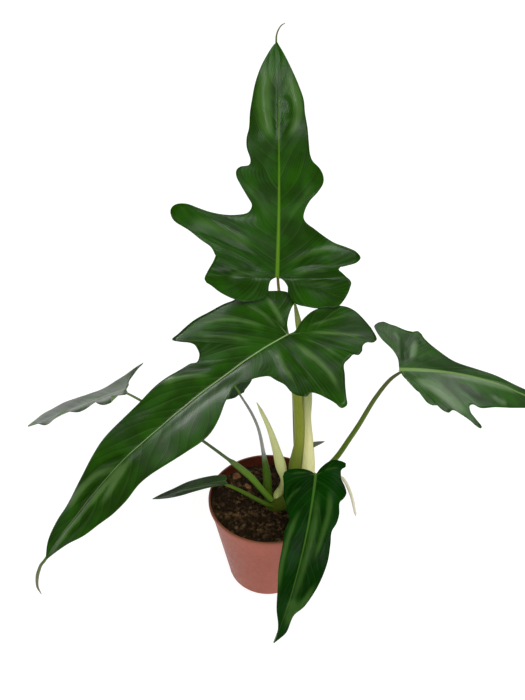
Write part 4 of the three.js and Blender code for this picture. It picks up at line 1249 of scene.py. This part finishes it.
def lumps(at, size, turn, seed, rows=7, sides=10):
    """Closed uneven lumps: squarish ellipsoids of the given half-sizes, turned about the vertical. Waves of
    two and three to the turn vary their radius from one side to the next."""
    draw = np.random.default_rng(seed)
    v = np.linspace(0, math.pi, rows)[None, :, None]
    u = whole_turn(sides)[None, None, :]
    phase = draw.uniform(0, 2 * math.pi, (len(at), 4))[:, :, None, None]
    girth = np.sin(v)
    radius = 1 + 0.14 * np.sin(2 * u + phase[:, 0]) * girth + 0.1 * np.sin(3 * u + phase[:, 1]) * girth
    radius = radius * (1 + 0.12 * np.sin(3 * v + phase[:, 2]) * girth * np.cos(u + phase[:, 3]))
    x = radius * girth**0.7 * squarish(np.cos(u), 0.8) * size[:, 0, None, None]
    y = radius * girth**0.7 * squarish(np.sin(u), 0.8) * size[:, 1, None, None]
    z = squarish(np.cos(v), 0.7) * size[:, 2, None, None] * np.ones_like(x)
    c, s = np.cos(turn)[:, None, None], np.sin(turn)[:, None, None]
    points = np.stack([x * c - y * s, x * s + y * c, z], -1) + at[:, None, None]
    one = net_faces(rows, sides, closed=True)[:, ::-1]
    faces = (one[None] + (np.arange(len(at)) * rows * sides)[:, None, None]).reshape(-1, 3)
    points = points.reshape(-1, 3)
    faces, kept = weld(points, faces)
    return points[kept], faces


def crumb_shape():
    """Crumbs of peat and bark fibre over the soil, half sunk in it, most of them small."""
    draw = np.random.default_rng(CRUMB_SEED)
    r = (pot_outer(SOIL_TOP) - CRUMB_MARGIN) * np.sqrt(draw.uniform(0, 1, CRUMBS))
    a = draw.uniform(0, 2 * math.pi, CRUMBS)
    x, y = r * np.cos(a), r * np.sin(a)
    at = np.column_stack([x, y, soil_height(x, y) + crumb_lift(x, y)])
    size = CRUMB_SIZE + CRUMB_SPREAD * draw.uniform(0, 1, (CRUMBS, 1)) ** 2
    size = size * draw.uniform(0.6, 1.4, (CRUMBS, 3)) * (1, 1, 0.7)
    return lumps(at, size, draw.uniform(0, math.pi, CRUMBS), LUMP_SEED)


def chip_shape(chip, seed):
    """A flat piece of bark, tilted, turned, and laid on the soil."""
    points, faces = lumps(np.zeros((1, 3)), np.array([chip["size"]]), np.zeros(1), seed, 24, 36)
    a, b = math.radians(CHIP_TILT), math.radians(chip["turn"])
    tilt = np.array([[1, 0, 0], [0, math.cos(a), -math.sin(a)], [0, math.sin(a), math.cos(a)]])
    turn = np.array([[math.cos(b), -math.sin(b), 0], [math.sin(b), math.cos(b), 0], [0, 0, 1]])
    x, y = chip["at"]
    return points @ (turn @ tilt).T + (x, y, soil_height(x, y) + CHIP_RAISE), faces


def soil_material(name):
    """Two earthy colours in fine grains, the lighter one in patches."""
    light, dark = EARTHS[name]
    material, tree, shader = new_material(name)
    place = object_place(tree)
    grain = noise(tree, place, 230.0, 6.0)
    patches = between(tree, noise(tree, place, 60.0), 0.38, 0.62, 0.1, 1.0)
    amount = calculate(tree, "MULTIPLY", between(tree, grain, 0.42, 0.62), patches)
    coat(shader, layers(tree, dark, (amount, light)), 0.9, 0.15)
    bump(tree, shader, grain, 0.0008, 0.8)
    return material


def add_soil():
    """The soil, its crumbs and the pieces of bark on it."""
    add_piece("potting_soil", *soil_shape(), soil_material("soil"), "soil", node="soil")
    add_piece("soil_crumbs", *crumb_shape(), soil_material("soil crumbs"), "soil", node="soil")
    barks = {name: soil_material(name) for name in ("dry bark", "damp bark")}
    for i, chip in enumerate(CHIPS):
        points, faces = chip_shape(chip, CHIP_SEED + i)
        bark = barks[chip["bark"]]
        add_piece("bark_piece_%d" % (i + 1), points, faces, bark, "bark", node="bark_chip_%d" % (i + 1))


# The studio

def add_area_light(name, place, size, power, mirrored):
    """A round soft light aimed at the plant. One that isn't mirrored lights it without showing on it."""
    data = bpy.data.lights.new(name, "AREA")
    data.shape = "DISK"
    data.size = size
    data.energy = power
    light = new_object(name, data)
    light.location = place
    light.visible_glossy = mirrored
    aim = np.array(LIGHTS_AIM) - np.array(place)
    flat = math.hypot(aim[0], aim[1])
    light.rotation_euler = (math.atan2(flat, -aim[2]), 0, math.atan2(-aim[0], aim[1]))


def add_floor():
    """A pale floor that shines a little, so that it shows white."""
    material, _, shader = new_material("white floor")
    feed(shader, "Base Color", (0.3, 0.3, 0.3, 1.0))
    feed(shader, "Roughness", 0.9)
    feed(shader, "Emission Color", (1.0, 1.0, 1.0, 1.0))
    feed(shader, "Emission Strength", 0.85)
    mesh = bpy.data.meshes.new("floor")
    corners = [(FLOOR_HALF * x, FLOOR_HALF * y, 0) for x, y in ((-1, -1), (1, -1), (1, 1), (-1, 1))]
    mesh.from_pydata(corners, [], [(0, 1, 2, 3)])
    mesh.materials.append(material)
    floor = new_object("floor", mesh)


def add_studio():
    """A white floor and backdrop, and soft lights: one fills, and the others also show as sheen."""
    scene = bpy.context.scene
    scene.view_settings.view_transform = "Standard"
    world = bpy.data.worlds.new("studio")
    scene.world = world
    world.use_nodes = True
    background = world.node_tree.nodes["Background"]
    feed(background, "Color", (1.0, 1.0, 1.0, 1.0))
    feed(background, "Strength", 0.9)
    world.cycles_visibility.diffuse = False
    world.cycles_visibility.glossy = False
    add_floor()
    for name, light in LIGHTS.items():
        add_area_light(name, *light)


def add_camera():
    """The camera of the photo."""
    data = bpy.data.cameras.new("camera")
    data.lens = CAMERA_LENS
    data.sensor_width = CAMERA_SENSOR
    camera = new_object("camera", data)
    camera.location = CAMERA_PLACE
    camera.rotation_euler = (math.radians(CAMERA_PITCH), 0, 0)
    bpy.context.scene.camera = camera


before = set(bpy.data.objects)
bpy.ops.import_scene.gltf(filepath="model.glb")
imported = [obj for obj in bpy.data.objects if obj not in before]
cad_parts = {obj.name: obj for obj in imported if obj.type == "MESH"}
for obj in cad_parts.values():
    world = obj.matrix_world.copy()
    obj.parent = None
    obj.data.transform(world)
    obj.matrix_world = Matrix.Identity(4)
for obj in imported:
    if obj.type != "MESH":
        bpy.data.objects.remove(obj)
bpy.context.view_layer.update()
add_camera()
add_studio()
add_pot()
add_soil()
add_stalks()
add_blades()
